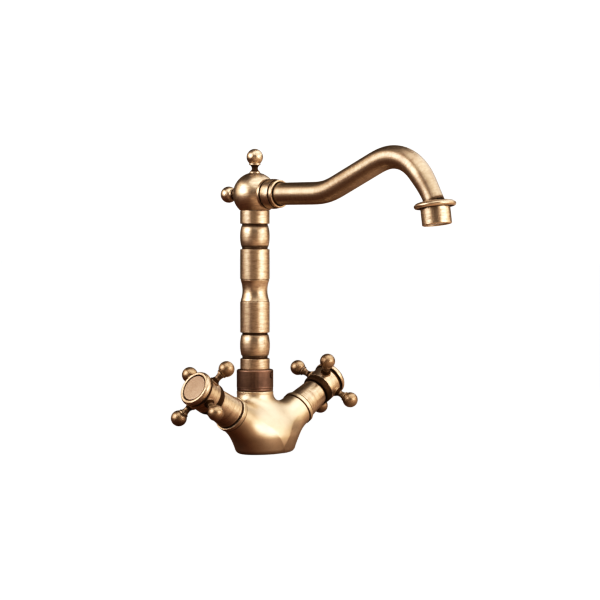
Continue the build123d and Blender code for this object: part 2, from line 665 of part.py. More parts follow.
# ---------------------------------------------------------------- nozzle
with BuildPart() as spout_flange:
    turn_ring(NOZZLE_PLANE, 0, FLANGE_R, 0, FLANGE_THICK)
    fillet(spout_flange.edges().filter_by(GeomType.CIRCLE), FLANGE_EDGE)
    turn_ring(NOZZLE_PLANE, 0, HOUSING_BORE_R - SEAT_GAP, FLANGE_THICK, FLANGE_THICK + FLANGE_SPIGOT_LENGTH)
    turn_ring(TIP_PLANE, 0, TUBE_END_R + SEAT_GAP, 0, TUBE_TIP + SEAT_GAP, Mode.SUBTRACT)
    turn_ring(NOZZLE_PLANE, 0, OUTLET_R, TIP_SINK, FLANGE_THICK + FLANGE_SPIGOT_LENGTH, Mode.SUBTRACT)
save(spout_flange.part, "spout_flange")

with BuildPart() as aerator_housing:
    turn_outline(NOZZLE_PLANE, [
        (HOUSING_BORE_R, HOUSING_Z),
        (HOUSING_R, HOUSING_Z),
        (HOUSING_R, HOUSING_END - HOUSING_LIP / 2),
        (HOUSING_R - HOUSING_LIP / 2, HOUSING_END),
        (HOUSING_MOUTH_R, HOUSING_END),
        (HOUSING_MOUTH_R, HOUSING_END - HOUSING_LIP),
        (HOUSING_BORE_R, HOUSING_END - HOUSING_LIP),
    ])
save(aerator_housing.part, "aerator_housing")

with BuildPart() as nozzle_washer:
    turn_ring(NOZZLE_PLANE, OUTLET_R, HOUSING_BORE_R - SEAT_GAP, NOZZLE_WASHER_Z, INSERT_Z - SEAT_GAP)
save(nozzle_washer.part, "nozzle_washer")

with BuildPart() as aerator_insert:
    turn_ring(NOZZLE_PLANE, 0, HOUSING_BORE_R - SEAT_GAP, INSERT_Z, SCREEN_Z - SEAT_GAP)
    with BuildSketch(NOZZLE_PLANE.offset(INSERT_Z)):
        for hole_ring_r, hole_count in INSERT_RINGS.items():
            with PolarLocations(hole_ring_r, hole_count):
                Circle(INSERT_HOLE_R)
    extrude(amount=SCREEN_Z - INSERT_Z, mode=Mode.SUBTRACT)
save(aerator_insert.part, "aerator_insert")

with BuildPart() as aerator_screen:
    with BuildSketch(NOZZLE_PLANE.offset(SCREEN_Z)):
        Circle(HOUSING_BORE_R - SEAT_GAP)
        Circle(HOUSING_MOUTH_R - SCREEN_BAR, mode=Mode.SUBTRACT)
        for bar_turn in (0, 90):
            with Locations(Location((0, 0), bar_turn)):
                with GridLocations(0, 2 * HOUSING_MOUTH_R / (SCREEN_BARS + 1), 1, SCREEN_BARS):
                    Rectangle(2 * HOUSING_MOUTH_R, SCREEN_BAR)
    extrude(amount=SCREEN_THICK)
    screen_top = SCREEN_Z + SCREEN_THICK
    turn_ring(NOZZLE_PLANE, HOUSING_BORE_R - SEAT_GAP, FLANGE_R, SCREEN_Z, screen_top, Mode.SUBTRACT)
save(aerator_screen.part, "aerator_screen")


# ---------------------------------------------------------------- valves and handles
def make_valve(hand, side):
    """Quarter-turn ceramic valve of one arm, with the sleeve that covers it."""
    rim = rim_plane(side)

    with BuildPart() as valve_seal:
        seal_floor = SEAT_GAP - VALVE_DEPTH - SEAL_HEIGHT
        turn_ring(rim, WATERWAY_R, SEAL_BORE_R - SEAT_GAP, seal_floor, VALVE_Z - SEAT_GAP)
    save(valve_seal.part, f"{hand}_valve_seal")

    with BuildPart() as valve_body:
        turn_ring(rim, 0, VALVE_THREAD_R - SEAT_GAP, VALVE_Z, SEAT_GAP)
        with BuildSketch(rim.offset(SEAT_GAP)):
            RegularPolygon(VALVE_FLANGE_R, 6)
        extrude(amount=VALVE_FLANGE_THICK)
        turn_ring(rim, 0, VALVE_BARREL_R, VALVE_FLANGE_THICK, VALVE_TOP)
        turn_ring(rim, 0, VALVE_CAVITY_R, VALVE_Z, VALVE_Z + VALVE_CAVITY, Mode.SUBTRACT)
        turn_ring(rim, 0, STEM_R + RUN_FIT, VALVE_Z, VALVE_TOP, Mode.SUBTRACT)
        window = Plane(rim.offset(STEM_Z + STEM_HEAD).origin, z_dir=rim.x_dir)
        turn_ring(window, 0, WINDOW_R, -VALVE_THREAD_R, VALVE_THREAD_R, Mode.SUBTRACT)
    save(valve_body.part, f"{hand}_valve_body")

    with BuildPart() as fixed_disc:
        turn_ring(rim, 0, DISC_R, FIXED_DISC_Z, FIXED_DISC_Z + DISC_THICK)
        cut_ports(rim.offset(FIXED_DISC_Z))
    save(fixed_disc.part, f"{hand}_fixed_disc")

    with BuildPart() as sleeve:
        turn_outline(rim, [
            (SLEEVE_R - SLEEVE_WALL, SEAT_GAP),
            (SLEEVE_FOOT_R, SEAT_GAP),
            (SLEEVE_FOOT_R, SLEEVE_FOOT),
            (SLEEVE_R, SLEEVE_FOOT + (SLEEVE_FOOT_R - SLEEVE_R)),
            (SLEEVE_TOP_R, SLEEVE_LENGTH),
            (VALVE_BARREL_R + SEAT_GAP, SLEEVE_LENGTH),
            (VALVE_BARREL_R + SEAT_GAP, SLEEVE_LENGTH - SLEEVE_CAP_THICK),
            (SLEEVE_TOP_R - SLEEVE_WALL, SLEEVE_LENGTH - SLEEVE_CAP_THICK),
        ])
    save(sleeve.part, f"{hand}_sleeve")


def cut_ports(disc_plane):
    """Two round water ports through a ceramic disc."""
    with BuildSketch(disc_plane) as ports:
        with PolarLocations(PORT_OFFSET, 2):
            Circle(PORT_R)
    extrude(ports.sketch, amount=DISC_THICK, mode=Mode.SUBTRACT)


def make_stem(hand, side):
    """Everything inside the valve that turns with the handle."""
    rim = rim_plane(side)

    with BuildPart() as moving_disc:
        turn_ring(rim, 0, DISC_R, MOVING_DISC_Z, MOVING_DISC_Z + DISC_THICK)
        cut_ports(rim.offset(MOVING_DISC_Z).rotated((0, 0, 90)))
    save(moving_disc.part, f"{hand}_moving_disc")

    with BuildPart() as stem:
        turn_ring(rim, 0, STEM_HEAD_R, STEM_Z, STEM_Z + STEM_HEAD)
        turn_ring(rim, 0, STEM_R, STEM_Z, STEM_TOP)
        turn_ring(rim, 0, SCREW_R + SEAT_GAP, STEM_TOP - SCREW_LENGTH, STEM_TOP, Mode.SUBTRACT)
        for ring_height in STEM_RING_HEIGHTS:
            cut_ring_groove(rim, STEM_RING_R, STEM_RING_THICK, ring_height)
    save(stem.part, f"{hand}_stem")

    with BuildPart() as stem_o_rings:
        for ring_height in STEM_RING_HEIGHTS:
            turn_o_ring(rim, STEM_RING_R, STEM_RING_THICK, ring_height)
    save(stem_o_rings.part, f"{hand}_stem_o_rings")


def make_handle(hand, side):
    """Cross handle: hub, four screwed-in ball spokes, cap ring, index disc and screw."""
    rim = rim_plane(side)
    spoke_planes = [
        spoke_plane(rim, SPOKE_ANGLES[hand] + 360 / SPOKES * number)
        for number in range(SPOKES)
    ]

    with BuildPart() as hub:
        turn_outline(rim, [
            (0, HUB_BACK),
            (HUB_BACK_R, HUB_BACK),
            (HUB_R, HUB_BACK + HUB_SKIRT),
            (HUB_R, HUB_TOP),
            (0, HUB_TOP),
        ])
        turn_ring(rim, 0, VALVE_BARREL_R + 2 * FACE_GAP, HUB_BACK, HUB_BACK + HUB_RECESS, Mode.SUBTRACT)
        turn_ring(rim, 0, STEM_R + SEAT_GAP, HUB_BACK, STEM_TOP + SEAT_GAP, Mode.SUBTRACT)
        turn_ring(rim, 0, SCREW_R + SEAT_GAP, STEM_TOP, HUB_TOP, Mode.SUBTRACT)
        turn_ring(rim, 0, HUB_GROOVE_R + SEAT_GAP, HUB_FLOOR_Z, HUB_TOP, Mode.SUBTRACT)
        for each_spoke in spoke_planes:
            flat_r = SPOKE_ROOT_R + SEAT_GAP
            flat_top = HUB_R + HUB_SWEEP
            turn_ring(each_spoke, 0, flat_r, SPOKE_SEAT - SEAT_GAP, flat_top, Mode.SUBTRACT)
            thread_end = SPOKE_SEAT - SPOKE_THREAD_LENGTH - SEAT_GAP
            turn_ring(each_spoke, 0, SPOKE_THREAD_R + SEAT_GAP, thread_end, SPOKE_SEAT, Mode.SUBTRACT)
    save(hub.part, f"{hand}_hub")

    with BuildPart() as ball_spokes:
        for each_spoke in spoke_planes:
            turn_ball_stem(
                each_spoke,
                seat=SPOKE_SEAT,
                reach=SPOKE_REACH,
                ball_r=SPOKE_BALL_R,
                ring_r=SPOKE_RING_R,
                ring_thick=SPOKE_RING_THICK,
                neck_r=SPOKE_NECK_R,
                root_r=SPOKE_ROOT_R,
                thread_r=SPOKE_THREAD_R,
                thread_length=SPOKE_THREAD_LENGTH,
            )
    save(ball_spokes.part, f"{hand}_ball_spokes")

    with BuildPart() as cap_ring:
        turn_outline(rim, [
            (CAP_BORE_R, HUB_FLOOR_Z + SEAT_GAP),
            (HUB_GROOVE_R, HUB_FLOOR_Z + SEAT_GAP),
            (HUB_GROOVE_R, CAP_Z),
            (CAP_R, CAP_Z),
            (CAP_R, CAP_TOP - CAP_EDGE),
            (CAP_R - CAP_EDGE, CAP_TOP),
            (INDEX_R + INDEX_GROOVE, CAP_TOP),
            (INDEX_R + INDEX_GROOVE, INDEX_Z - SEAT_GAP),
            (CAP_BORE_R, INDEX_Z - SEAT_GAP),
        ])
    save(cap_ring.part, f"{hand}_cap_ring")

    with BuildPart() as index_disc:
        turn_ring(rim, 0, INDEX_R, INDEX_Z, INDEX_Z + INDEX_THICK)
    save(index_disc.part, f"{hand}_index_disc")

    with BuildPart() as handle_screw:
        screw_head_z = HUB_FLOOR_Z + SEAT_GAP
        turn_ring(rim, 0, SCREW_HEAD_R, screw_head_z, screw_head_z + SCREW_HEAD_THICK)
        turn_ring(rim, 0, SCREW_R, screw_head_z - SCREW_LENGTH, screw_head_z)
        with BuildSketch(rim.offset(screw_head_z + SCREW_HEAD_THICK)):
            RegularPolygon(SCREW_R, 6)
        extrude(amount=-SCREW_HEAD_THICK / 2, mode=Mode.SUBTRACT)
    save(handle_screw.part, f"{hand}_handle_screw")


for arm_hand, arm_side in ARM_SIDES.items():
    make_valve(arm_hand, arm_side)
    make_stem(arm_hand, arm_side)
    make_handle(arm_hand, arm_side)
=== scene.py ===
"""Looks of a two-handle basin mixer in antique brass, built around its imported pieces.

Tables of sizes are in millimetres, as (radius, height, rounding) along a piece's own axis.
Meshes are in metres. +Z is up, and the spout at rest points towards -Y.
"""

from math import cos, pi, radians, sin

import bpy
import numpy as np
from bpy.props import FloatProperty, FloatVectorProperty, IntProperty, PointerProperty
from bpy.types import Operator, Panel, PropertyGroup
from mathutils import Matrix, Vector


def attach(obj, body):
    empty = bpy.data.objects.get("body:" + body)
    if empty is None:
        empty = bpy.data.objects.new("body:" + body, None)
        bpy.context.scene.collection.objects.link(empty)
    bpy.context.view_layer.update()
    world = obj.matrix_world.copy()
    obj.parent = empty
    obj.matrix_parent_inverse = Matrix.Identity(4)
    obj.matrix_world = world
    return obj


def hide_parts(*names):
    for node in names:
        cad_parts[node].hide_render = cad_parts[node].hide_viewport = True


bl_info = {
    "name": "Antique brass basin mixer",
    "version": (1, 0, 0),
    "blender": (4, 5, 0),
    "location": "View3D > Sidebar > Mixer",
    "description": "Turned, cast and brushed pieces of a two-handle basin mixer, with a plain stage",
    "category": "Object",
}

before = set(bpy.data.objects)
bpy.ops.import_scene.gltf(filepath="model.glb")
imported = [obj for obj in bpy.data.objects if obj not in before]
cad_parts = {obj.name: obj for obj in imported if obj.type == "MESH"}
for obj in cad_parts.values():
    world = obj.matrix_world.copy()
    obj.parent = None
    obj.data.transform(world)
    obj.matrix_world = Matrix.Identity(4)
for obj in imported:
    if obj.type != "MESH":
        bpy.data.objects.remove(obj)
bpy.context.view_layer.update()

MM = 0.001
TURN = 2 * pi
MAP_LENGTH = 100.0    # millimetres of outline to one unit of a piece's own map

# -------- places, in millimetres
COLUMN_Y = 12.4
GLOBE_Z = 224.08
GLOBE_R = 19.1
ARM_START = np.array([0.0, 0.0, 12.1])
ARM_LENGTH = 49.5
ARM_TILT = radians(30)
SIDES = {"left": -1, "right": 1}
SPOKE_TURNS = {"left": 55.9, "right": 32.5}
SPOKE_HEIGHT = 37.4
NOZZLE_TILT = radians(8.3)
GRUB_TURN = radians(18.7)
GRUB_Z = 67.1

# -------- wear, painted shade and rows, in millimetres
HOLLOW_DEPTH = 1.7      # a groove this deep takes the darkest painted shade
HOLLOW_REACH = 5.0      # crests further aside than this add no painted shade to a hollow
HOLLOW_SLOPE = 0.35     # what each millimetre aside takes off a hollow's depth
CREST_WIDTH = 0.55      # how far the rubbed brightness of an outer corner reaches
SHADE_BAND_FADE = 0.5        # a band of painted shade fades out over this height
EDGE_SHARE = 0.42       # the most of an edge that one rounding takes
CORNER_ROWS = 6         # rows across a rounding
BESIDE_CORNER = 0.12    # one more row stands this far off each end of a rounding
LEAST_STEP = 0.03       # rows closer than this are made one


# -------- profiles
def swell(low, high, end_r, middle_r, rounding=0.35, power=2.0, rows=19):
    """Barrel or waist between two heights.

    radius = end + (middle - end) (1 - |t|^power), with t from -1 to 1 over the height.
    """
    t = np.linspace(-1, 1, rows)
    height = low + (high - low) * (t + 1) / 2
    corner = np.where(np.abs(t) > 0.999, rounding, 0.0)
    return np.stack([end_r + (middle_r - end_r) * (1 - np.abs(t) ** power), height, corner], 1)


def arc_rows(centre, radius, start, stop, rows=40):
    """Round part of a profile about (0, centre): radius * (cos, sin) of angles, in degrees."""
    angle = np.radians(np.linspace(start, stop, rows))
    return np.stack([radius * np.cos(angle), centre + radius * np.sin(angle), 0 * angle], 1)


def profile(*parts):
    """One outline out of single corners and runs of rows."""
    return np.vstack([np.array(part, float).reshape(-1, 3) for part in parts])


def soften(outline, closed, spacing):
    """Rows (radius, height, tone) of an outline whose corners are rounded.

    Each corner C between A and B on its two edges becomes (1-s)^2 A + 2s(1-s) C + s^2 B.
    Tone is near +1 on outer corners. In a hollow it falls to -1 with the depth below the crests
    close by, which is (crest - row) . normal less a share of the distance aside: painted shade.
    Rows stand at most one spacing apart, with one more close beside each end of a rounding.
    """
    point, rounding = outline[:, :2], outline[:, 2]
    before, after = np.roll(point, 1, 0), np.roll(point, -1, 0)
    if not closed:
        before[0], after[-1] = point[0], point[-1]
    to_before, to_after = before - point, after - point
    length_before = np.hypot(*to_before.T)
    length_after = np.hypot(*to_after.T)
    unit_before = to_before / np.maximum(length_before, 1e-9)[:, None]
    unit_after = to_after / np.maximum(length_after, 1e-9)[:, None]
    reach = np.minimum(rounding, EDGE_SHARE * np.minimum(length_before, length_after))[:, None]
    s = np.linspace(0, 1, CORNER_ROWS)[None, :, None]
    start, stop = point + unit_before * reach, point + unit_after * reach
    curve = (1 - s) ** 2 * start[:, None] + 2 * s * (1 - s) * point[:, None] + s**2 * stop[:, None]
    path = curve.reshape(-1, 2)
    if closed:
        path = np.vstack([path, path[:1]])
    step = np.hypot(*np.diff(path, axis=0).T)
    keep = np.concatenate([[True], step > 1e-5])
    path = path[keep]
    along = np.concatenate([[0], np.cumsum(np.hypot(*np.diff(path, axis=0).T))])
    total = along[-1]
    rounded = reach[:, 0] > 0.01
    travel = np.concatenate([[0], np.cumsum(step)])
    travel = travel[: curve.shape[0] * CORNER_ROWS].reshape(-1, CORNER_ROWS)
    beside = np.concatenate([travel[rounded, 0] - BESIDE_CORNER, travel[rounded, -1] + BESIDE_CORNER])
    even = np.linspace(0, total, int(total / spacing) + 2)
    marks = np.sort(np.concatenate([along, np.clip(beside, 0, total), even]))
    marks = marks[np.concatenate([[True], np.diff(marks) > LEAST_STEP])]
    if closed:
        marks = marks[marks < total - LEAST_STEP]
    else:
        marks[-1] = total
    rows = np.stack([np.interp(marks, along, path[:, i]) for i in (0, 1)], 1)
    bend = -unit_before[:, 0] * unit_after[:, 1] + unit_before[:, 1] * unit_after[:, 0]
    distance = np.linalg.norm(rows[:, None] - point[None], axis=2)
    outer = (np.clip(bend, 0, 1) * np.exp(-((distance / CREST_WIDTH) ** 2))).max(1)
    # Painted shade: each row darkens with its depth below the crests close by.
    way = np.gradient(rows, axis=0)
    normal = np.stack([way[:, 1], -way[:, 0]], 1) / np.maximum(np.hypot(*way.T), 1e-9)[:, None]
    gap = rows[None] - rows[:, None]
    above = np.einsum("ijk,ik->ij", gap, normal)
    aside = np.abs(gap[..., 0] * normal[:, None, 1] - gap[..., 1] * normal[:, None, 0])
    depth = np.where(aside < HOLLOW_REACH, above - HOLLOW_SLOPE * aside, 0.0).max(1)
    hollow = np.clip(depth / HOLLOW_DEPTH, 0, 1)
    return np.column_stack([rows, outer * (1 - hollow) - hollow, marks])


# -------- surfaces
def axes(z_axis, x_axis):
    """Three unit axes whose third is z_axis and whose first leans towards x_axis."""
    z = np.array(z_axis, float) / np.linalg.norm(z_axis)
    x = np.array(x_axis, float)
    x = x - z * (x @ z)
    x /= np.linalg.norm(x)
    return np.stack([x, np.cross(z, x), z])


def surface(points, tone, v, closed=False):
    """A grid of points (rows, around, 3) as one skin that closes round and shares a point at a pole.

    The piece's own map runs from 0 to 1 around, and v is given for each row.
    """
    rows, around = points.shape[:2]
    index = np.arange(rows * around).reshape(rows, around)
    pole = np.ptp(points.reshape(rows, around, 3), axis=1).max(1) < 1e-6
    index[pole] = index[pole][:, :1]
    upper = np.roll(index, -1, 0) if closed else index[1:]
    lower = index if closed else index[:-1]
    quads = np.stack([lower, np.roll(lower, -1, 1), np.roll(upper, -1, 1), upper], -1)
    count = len(quads)
    left = np.broadcast_to(np.arange(around) / around, (count, around))
    right = left + 1 / around
    v_low = np.broadcast_to(np.asarray(v)[:count, None], (count, around))
    v_high = np.broadcast_to(np.append(v, v[-1])[1 : count + 1, None], (count, around))
    corner_u = np.stack([left, right, right, left], -1)
    corner_v = np.stack([v_low, v_low, v_high, v_high], -1)
    maps = np.stack([corner_u, corner_v], -1).reshape(-1, 4, 2)
    quads = quads.reshape(-1, 4)
    keep = np.ones(quads.shape, bool)
    keep[quads[:, 0] == quads[:, 1], 1] = False
    keep[quads[:, 2] == quads[:, 3], 3] = False
    used, corners = np.unique(quads[keep], return_inverse=True)
    return {
        "points": points.reshape(-1, 3)[used],
        "tone": np.broadcast_to(tone, (rows, around)).reshape(-1)[used],
        "corners": corners,
        "sizes": keep.sum(1),
        "maps": maps[keep],
    }


def turned(outline, origin, basis, closed=True, around=144, spacing=1.2, ripple=None, shade_bands=()):
    """Surface of turning: origin + radius * (cos a * x + sin a * y) + height * z, a going once round.

    ripple, where given, adds to the radius and to the tone at (angle, height, radius). The last
    argument holds bands of (low, high, amount) heights darkened on the outside as painted shade.
    """
    rows = soften(outline, closed, spacing)
    angle = np.arange(around) * TURN / around
    # Painted shade in each band, fading out at its edges.
    for low, high, amount in shade_bands:
        past = np.maximum(low - rows[:, 1], rows[:, 1] - high)
        rows[:, 2] -= amount * np.clip(1 - past / SHADE_BAND_FADE, 0, 1)
    radius = np.repeat(rows[:, :1], around, 1)
    tone = np.repeat(rows[:, 2:3], around, 1)
    if ripple:
        change, shade = ripple(angle[None], rows[:, 1:2], rows[:, :1])
        radius, tone = radius + change, tone + shade
    ring = np.cos(angle)[:, None] * basis[0] + np.sin(angle)[:, None] * basis[1]
    points = np.array(origin, float) + radius[..., None] * ring[None]
    points = points + rows[:, 1, None, None] * basis[2]
    return surface(points, tone, rows[:, 3] / MAP_LENGTH, closed)


def piece(name, skins):
    """One object at the origin out of several skins, in metres, shaded smooth."""
    offsets = np.concatenate([[0], np.cumsum([len(skin["points"]) for skin in skins])[:-1]]).astype(int)
    mesh = bpy.data.meshes.new(name)
    points = np.vstack([skin["points"] for skin in skins]) * MM
    corners = np.concatenate([skin["corners"] + offset for skin, offset in zip(skins, offsets)])
    corner_counts = np.concatenate([skin["sizes"] for skin in skins])
    mesh.vertices.add(len(points))
    mesh.vertices.foreach_set("co", points.astype(np.float32).ravel())
    mesh.loops.add(len(corners))
    mesh.loops.foreach_set("vertex_index", corners.astype(np.int32))
    mesh.polygons.add(len(corner_counts))
    starts = np.concatenate([[0], np.cumsum(corner_counts)[:-1]])
    mesh.polygons.foreach_set("loop_start", starts.astype(np.int32))
    mesh.polygons.foreach_set("use_smooth", np.ones(len(corner_counts), bool))
    mesh.update(calc_edges=True)
    maps = np.vstack([skin["maps"] for skin in skins])
    mesh.uv_layers.new(name="UVMap").data.foreach_set("uv", maps.astype(np.float32).ravel())
    # tone holds rubbed wear above 0 and painted shade below 0.
    tone = np.concatenate([skin["tone"] for skin in skins])
    layer = mesh.attributes.new("tone", "FLOAT", "POINT")
    layer.data.foreach_set("value", tone.astype(np.float32))
    if mesh.validate():
        raise RuntimeError(f"{name} has faces that don't hold together")
    made = bpy.data.objects.new(name, mesh)
    bpy.context.scene.collection.objects.link(made)
    return made


def fit(made, body, finish, stands_for):
    """Give a piece its finish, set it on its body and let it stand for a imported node."""
    made.data.materials.append(finish)
    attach(made, body)
    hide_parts(stands_for)


# -------- finishes
LACQUER_IOR = 1.8
LACQUER_ROUGHNESS = 0.35
BUMP_HEIGHT = 0.00004     # metres, of the brass's lines and pits
DEEP_SHADE = 0.3          # painted shade in a hollow: dark brass at this share of its own colour
WORN_SHINE = 1.2          # light brass on a rubbed edge, as a share of its own colour
# How far painted shade darkens a hollow, and how far rubbed wear brightens an edge.
HOLLOW_STRENGTH = 0.95
RUBBED_STRENGTH = 0.55


def opaque(colour, share=1.0):
    """A colour times a share, no brighter than full, with full cover."""
    return tuple(min(1.0, channel * share) for channel in colour[:3]) + (1.0,)


def node(tree, kind, settings=None, **inputs):
    """Add a node; inputs are values or other nodes' sockets, named or numbered as i0, i1."""
    made = tree.nodes.new(kind)
    for key, value in (settings or {}).items():
        setattr(made, key, value)
    for key, value in inputs.items():
        place = int(key[1:]) if key[0] == "i" and key[1:].isdigit() else key.replace("_", " ")
        if isinstance(value, bpy.types.NodeSocket):
            tree.links.new(value, made.inputs[place])
        else:
            made.inputs[place].default_value = value
    return made


def sums(tree, operation, a, b=0.0, clamp=False):
    """One arithmetic step on two values."""
    made = node(tree, "ShaderNodeMath", {"operation": operation, "use_clamp": clamp}, i0=a, i1=b)
    return made.outputs[0]


def part_added(tree, a, b, share):
    """a plus a share of b."""
    return sums(tree, "ADD", a, sums(tree, "MULTIPLY", b, share))


def blend(tree, share, a, b):
    """Colour a turning into colour b by a share."""
    return node(tree, "ShaderNodeMix", {"data_type": "RGBA"}, i0=share, i6=a, i7=b).outputs[2]


def spread(tree, value, low, high, to_low=0.0, to_high=1.0):
    """Stretch a value from one range to another, held at its ends."""
    made = node(tree, "ShaderNodeMapRange", i0=value, i1=low, i2=high, i3=to_low, i4=to_high)
    return made.outputs[0]


def noise(tree, where, scale, detail=4.0, rough=0.55):
    """Cloudy value between 0 and 1."""
    made = node(tree, "ShaderNodeTexNoise", Vector=where, Scale=scale, Detail=detail, Roughness=rough)
    return made.outputs[0]


def new_finish(name):
    """New material, with its tree, its shader and the place on the piece."""
    finish = bpy.data.materials.new(name)
    finish.use_nodes = True
    tree = finish.node_tree
    shader = tree.nodes["Principled BSDF"]
    where = tree.nodes.new("ShaderNodeTexCoord").outputs["Object"]
    return finish, tree, shader, where


def brass(name, light, dark, rough, lines=0.0, pitch=1.2, grain=0.5, patina=0.5, coat=0.8):
    """Antique brass: cloudy patina, fine turning lines, painted shade in hollows and rubbed bright
    edges.

    lines is the strength of the turning lines and pitch their spacing in millimetres. grain is
    the strength of the fine pitting, patina that of the cloudy brown stain, and coat that of the
    lacquer, which is left off the hollows darkened by painted shade.
    """
    finish, tree, shader, where = new_finish(name)
    cloud = noise(tree, where, 38.0, 5.0, 0.6)
    fleck = noise(tree, where, 420.0, 4.0, 0.65)
    grit = noise(tree, where, 2600.0, 2.0, 0.6)
    tone = node(tree, "ShaderNodeAttribute", {"attribute_name": "tone"}).outputs["Fac"]
    # The negative tone is painted shade: hollows, creases, gaps between pieces, faces turned from the
    # light.
    hollow = spread(tree, part_added(tree, tone, fleck, 0.25), 0.1, -0.55)
    rubbed = spread(tree, part_added(tree, tone, fleck, 0.2), 0.65, 1.45)
    stain = spread(tree, part_added(tree, cloud, fleck, 0.2), 0.38, 0.9)
    colour = blend(tree, sums(tree, "MULTIPLY", stain, patina), light, dark)
    unevenness = sums(tree, "MULTIPLY", sums(tree, "SUBTRACT", cloud, 0.5), 0.2)
    rough_value = sums(tree, "ADD", rough, unevenness)
    height = part_added(tree, sums(tree, "MULTIPLY", grit, grain), fleck, 1.2 * grain)
    if lines:
        own_map = tree.nodes["Texture Coordinate"].outputs["UV"]
        own = node(tree, "ShaderNodeSeparateXYZ", i0=own_map)
        swing = sums(tree, "MULTIPLY", own.outputs[0], TURN)
        across, along = sums(tree, "COSINE", swing), sums(tree, "SINE", swing)
        rows = sums(tree, "MULTIPLY", own.outputs[1], MAP_LENGTH / pitch)
        ring = node(tree, "ShaderNodeCombineXYZ", i0=across, i1=along, i2=rows).outputs[0]
        scored = noise(tree, ring, 1.0, 3.0, 0.75)
        fine = noise(tree, ring, 4.5, 2.0, 0.6)
        mark = spread(tree, part_added(tree, scored, fine, 0.5), 0.62, 0.95)
        colour = blend(tree, sums(tree, "MULTIPLY", mark, 0.62 * lines), colour, dark)
        rough_value = part_added(tree, rough_value, mark, 0.14 * lines)
        height = part_added(tree, height, fine, -2.4 * lines)
    # Painted shade darkens the colour towards the dark brass; rubbed edges, which are wear, brighten it.
    painted_shade_share = sums(tree, "MULTIPLY", hollow, HOLLOW_STRENGTH)
    rubbed_share = sums(tree, "MULTIPLY", rubbed, RUBBED_STRENGTH)
    colour = blend(tree, painted_shade_share, colour, opaque(dark, DEEP_SHADE))
    colour = blend(tree, rubbed_share, colour, opaque(light, WORN_SHINE))
    rough_value = part_added(tree, rough_value, hollow, 0.25)
    rough_value = sums(tree, "SUBTRACT", rough_value, sums(tree, "MULTIPLY", rubbed, 0.08), True)
    bump = node(tree, "ShaderNodeBump", Strength=0.55, Distance=BUMP_HEIGHT, Height=height)
    shader.inputs["Metallic"].default_value = 1.0
    # The lacquer is left off where painted shade darkens.
    unshaded_coat = sums(tree, "MULTIPLY", sums(tree, "SUBTRACT", 1.0, hollow), coat)
    tree.links.new(unshaded_coat, shader.inputs["Coat Weight"])
    shader.inputs["Coat IOR"].default_value = LACQUER_IOR
    shader.inputs["Coat Roughness"].default_value = LACQUER_ROUGHNESS
    tree.links.new(colour, shader.inputs["Base Color"])
    tree.links.new(rough_value, shader.inputs["Roughness"])
    tree.links.new(bump.outputs[0], shader.inputs["Normal"])
    return finish


def plain(name, colour, rough, metal=0.0, scale=600.0, variety=0.15, depth=0.00002):
    """Small plain finish: slight mottling in colour and gloss over a fine bumped grain."""
    finish, tree, shader, where = new_finish(name)
    cloud = noise(tree, where, scale * 0.1, 4.0)
    fine = noise(tree, where, scale, 3.0)
    shade = opaque(colour, 1 - 2 * variety)
    tree.links.new(blend(tree, cloud, colour, shade), shader.inputs["Base Color"])
    tree.links.new(spread(tree, cloud, 0.3, 0.7, rough - 0.06, rough + 0.06), shader.inputs["Roughness"])
    bump = node(tree, "ShaderNodeBump", Strength=0.6, Distance=depth, Height=fine)
    tree.links.new(bump.outputs[0], shader.inputs["Normal"])
    shader.inputs["Metallic"].default_value = metal
    return finish


# -------- the user's sizes and colours
def colour_choice(label, note, value):
    """A colour in the panel."""
    return FloatVectorProperty(
        name=label, description=note, subtype="COLOR", size=4, min=0.0, max=1.0, default=(*value, 1.0)
    )


def size_choice(label, note, value, low, high):
    """A length in the panel, which holds metres, out of millimetres."""
    return FloatProperty(
        name=label, description=note, unit="LENGTH", default=value * MM, min=low * MM, max=high * MM
    )


class MixerSizes(PropertyGroup):
    """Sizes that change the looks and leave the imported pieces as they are."""

    arm_blend: size_choice("Arm blend", "Softness where the arms run into the base", 18.0, 1.0, 30.0)
    knurl_depth: size_choice("Knurl depth", "Depth of the nut's straight knurl", 0.10, 0.0, 0.6)
    knurl_count: IntProperty(
        name="Knurl count", description="Ridges round the nut", default=84, min=24, max=120
    )
    turning_pitch: size_choice("Turning pitch", "Spacing of the broader turned lines", 2.2, 0.3, 4.0)
    spout_ease: size_choice("Spout ease", "Length over which each bend begins", 9.0, 1.0, 20.0)


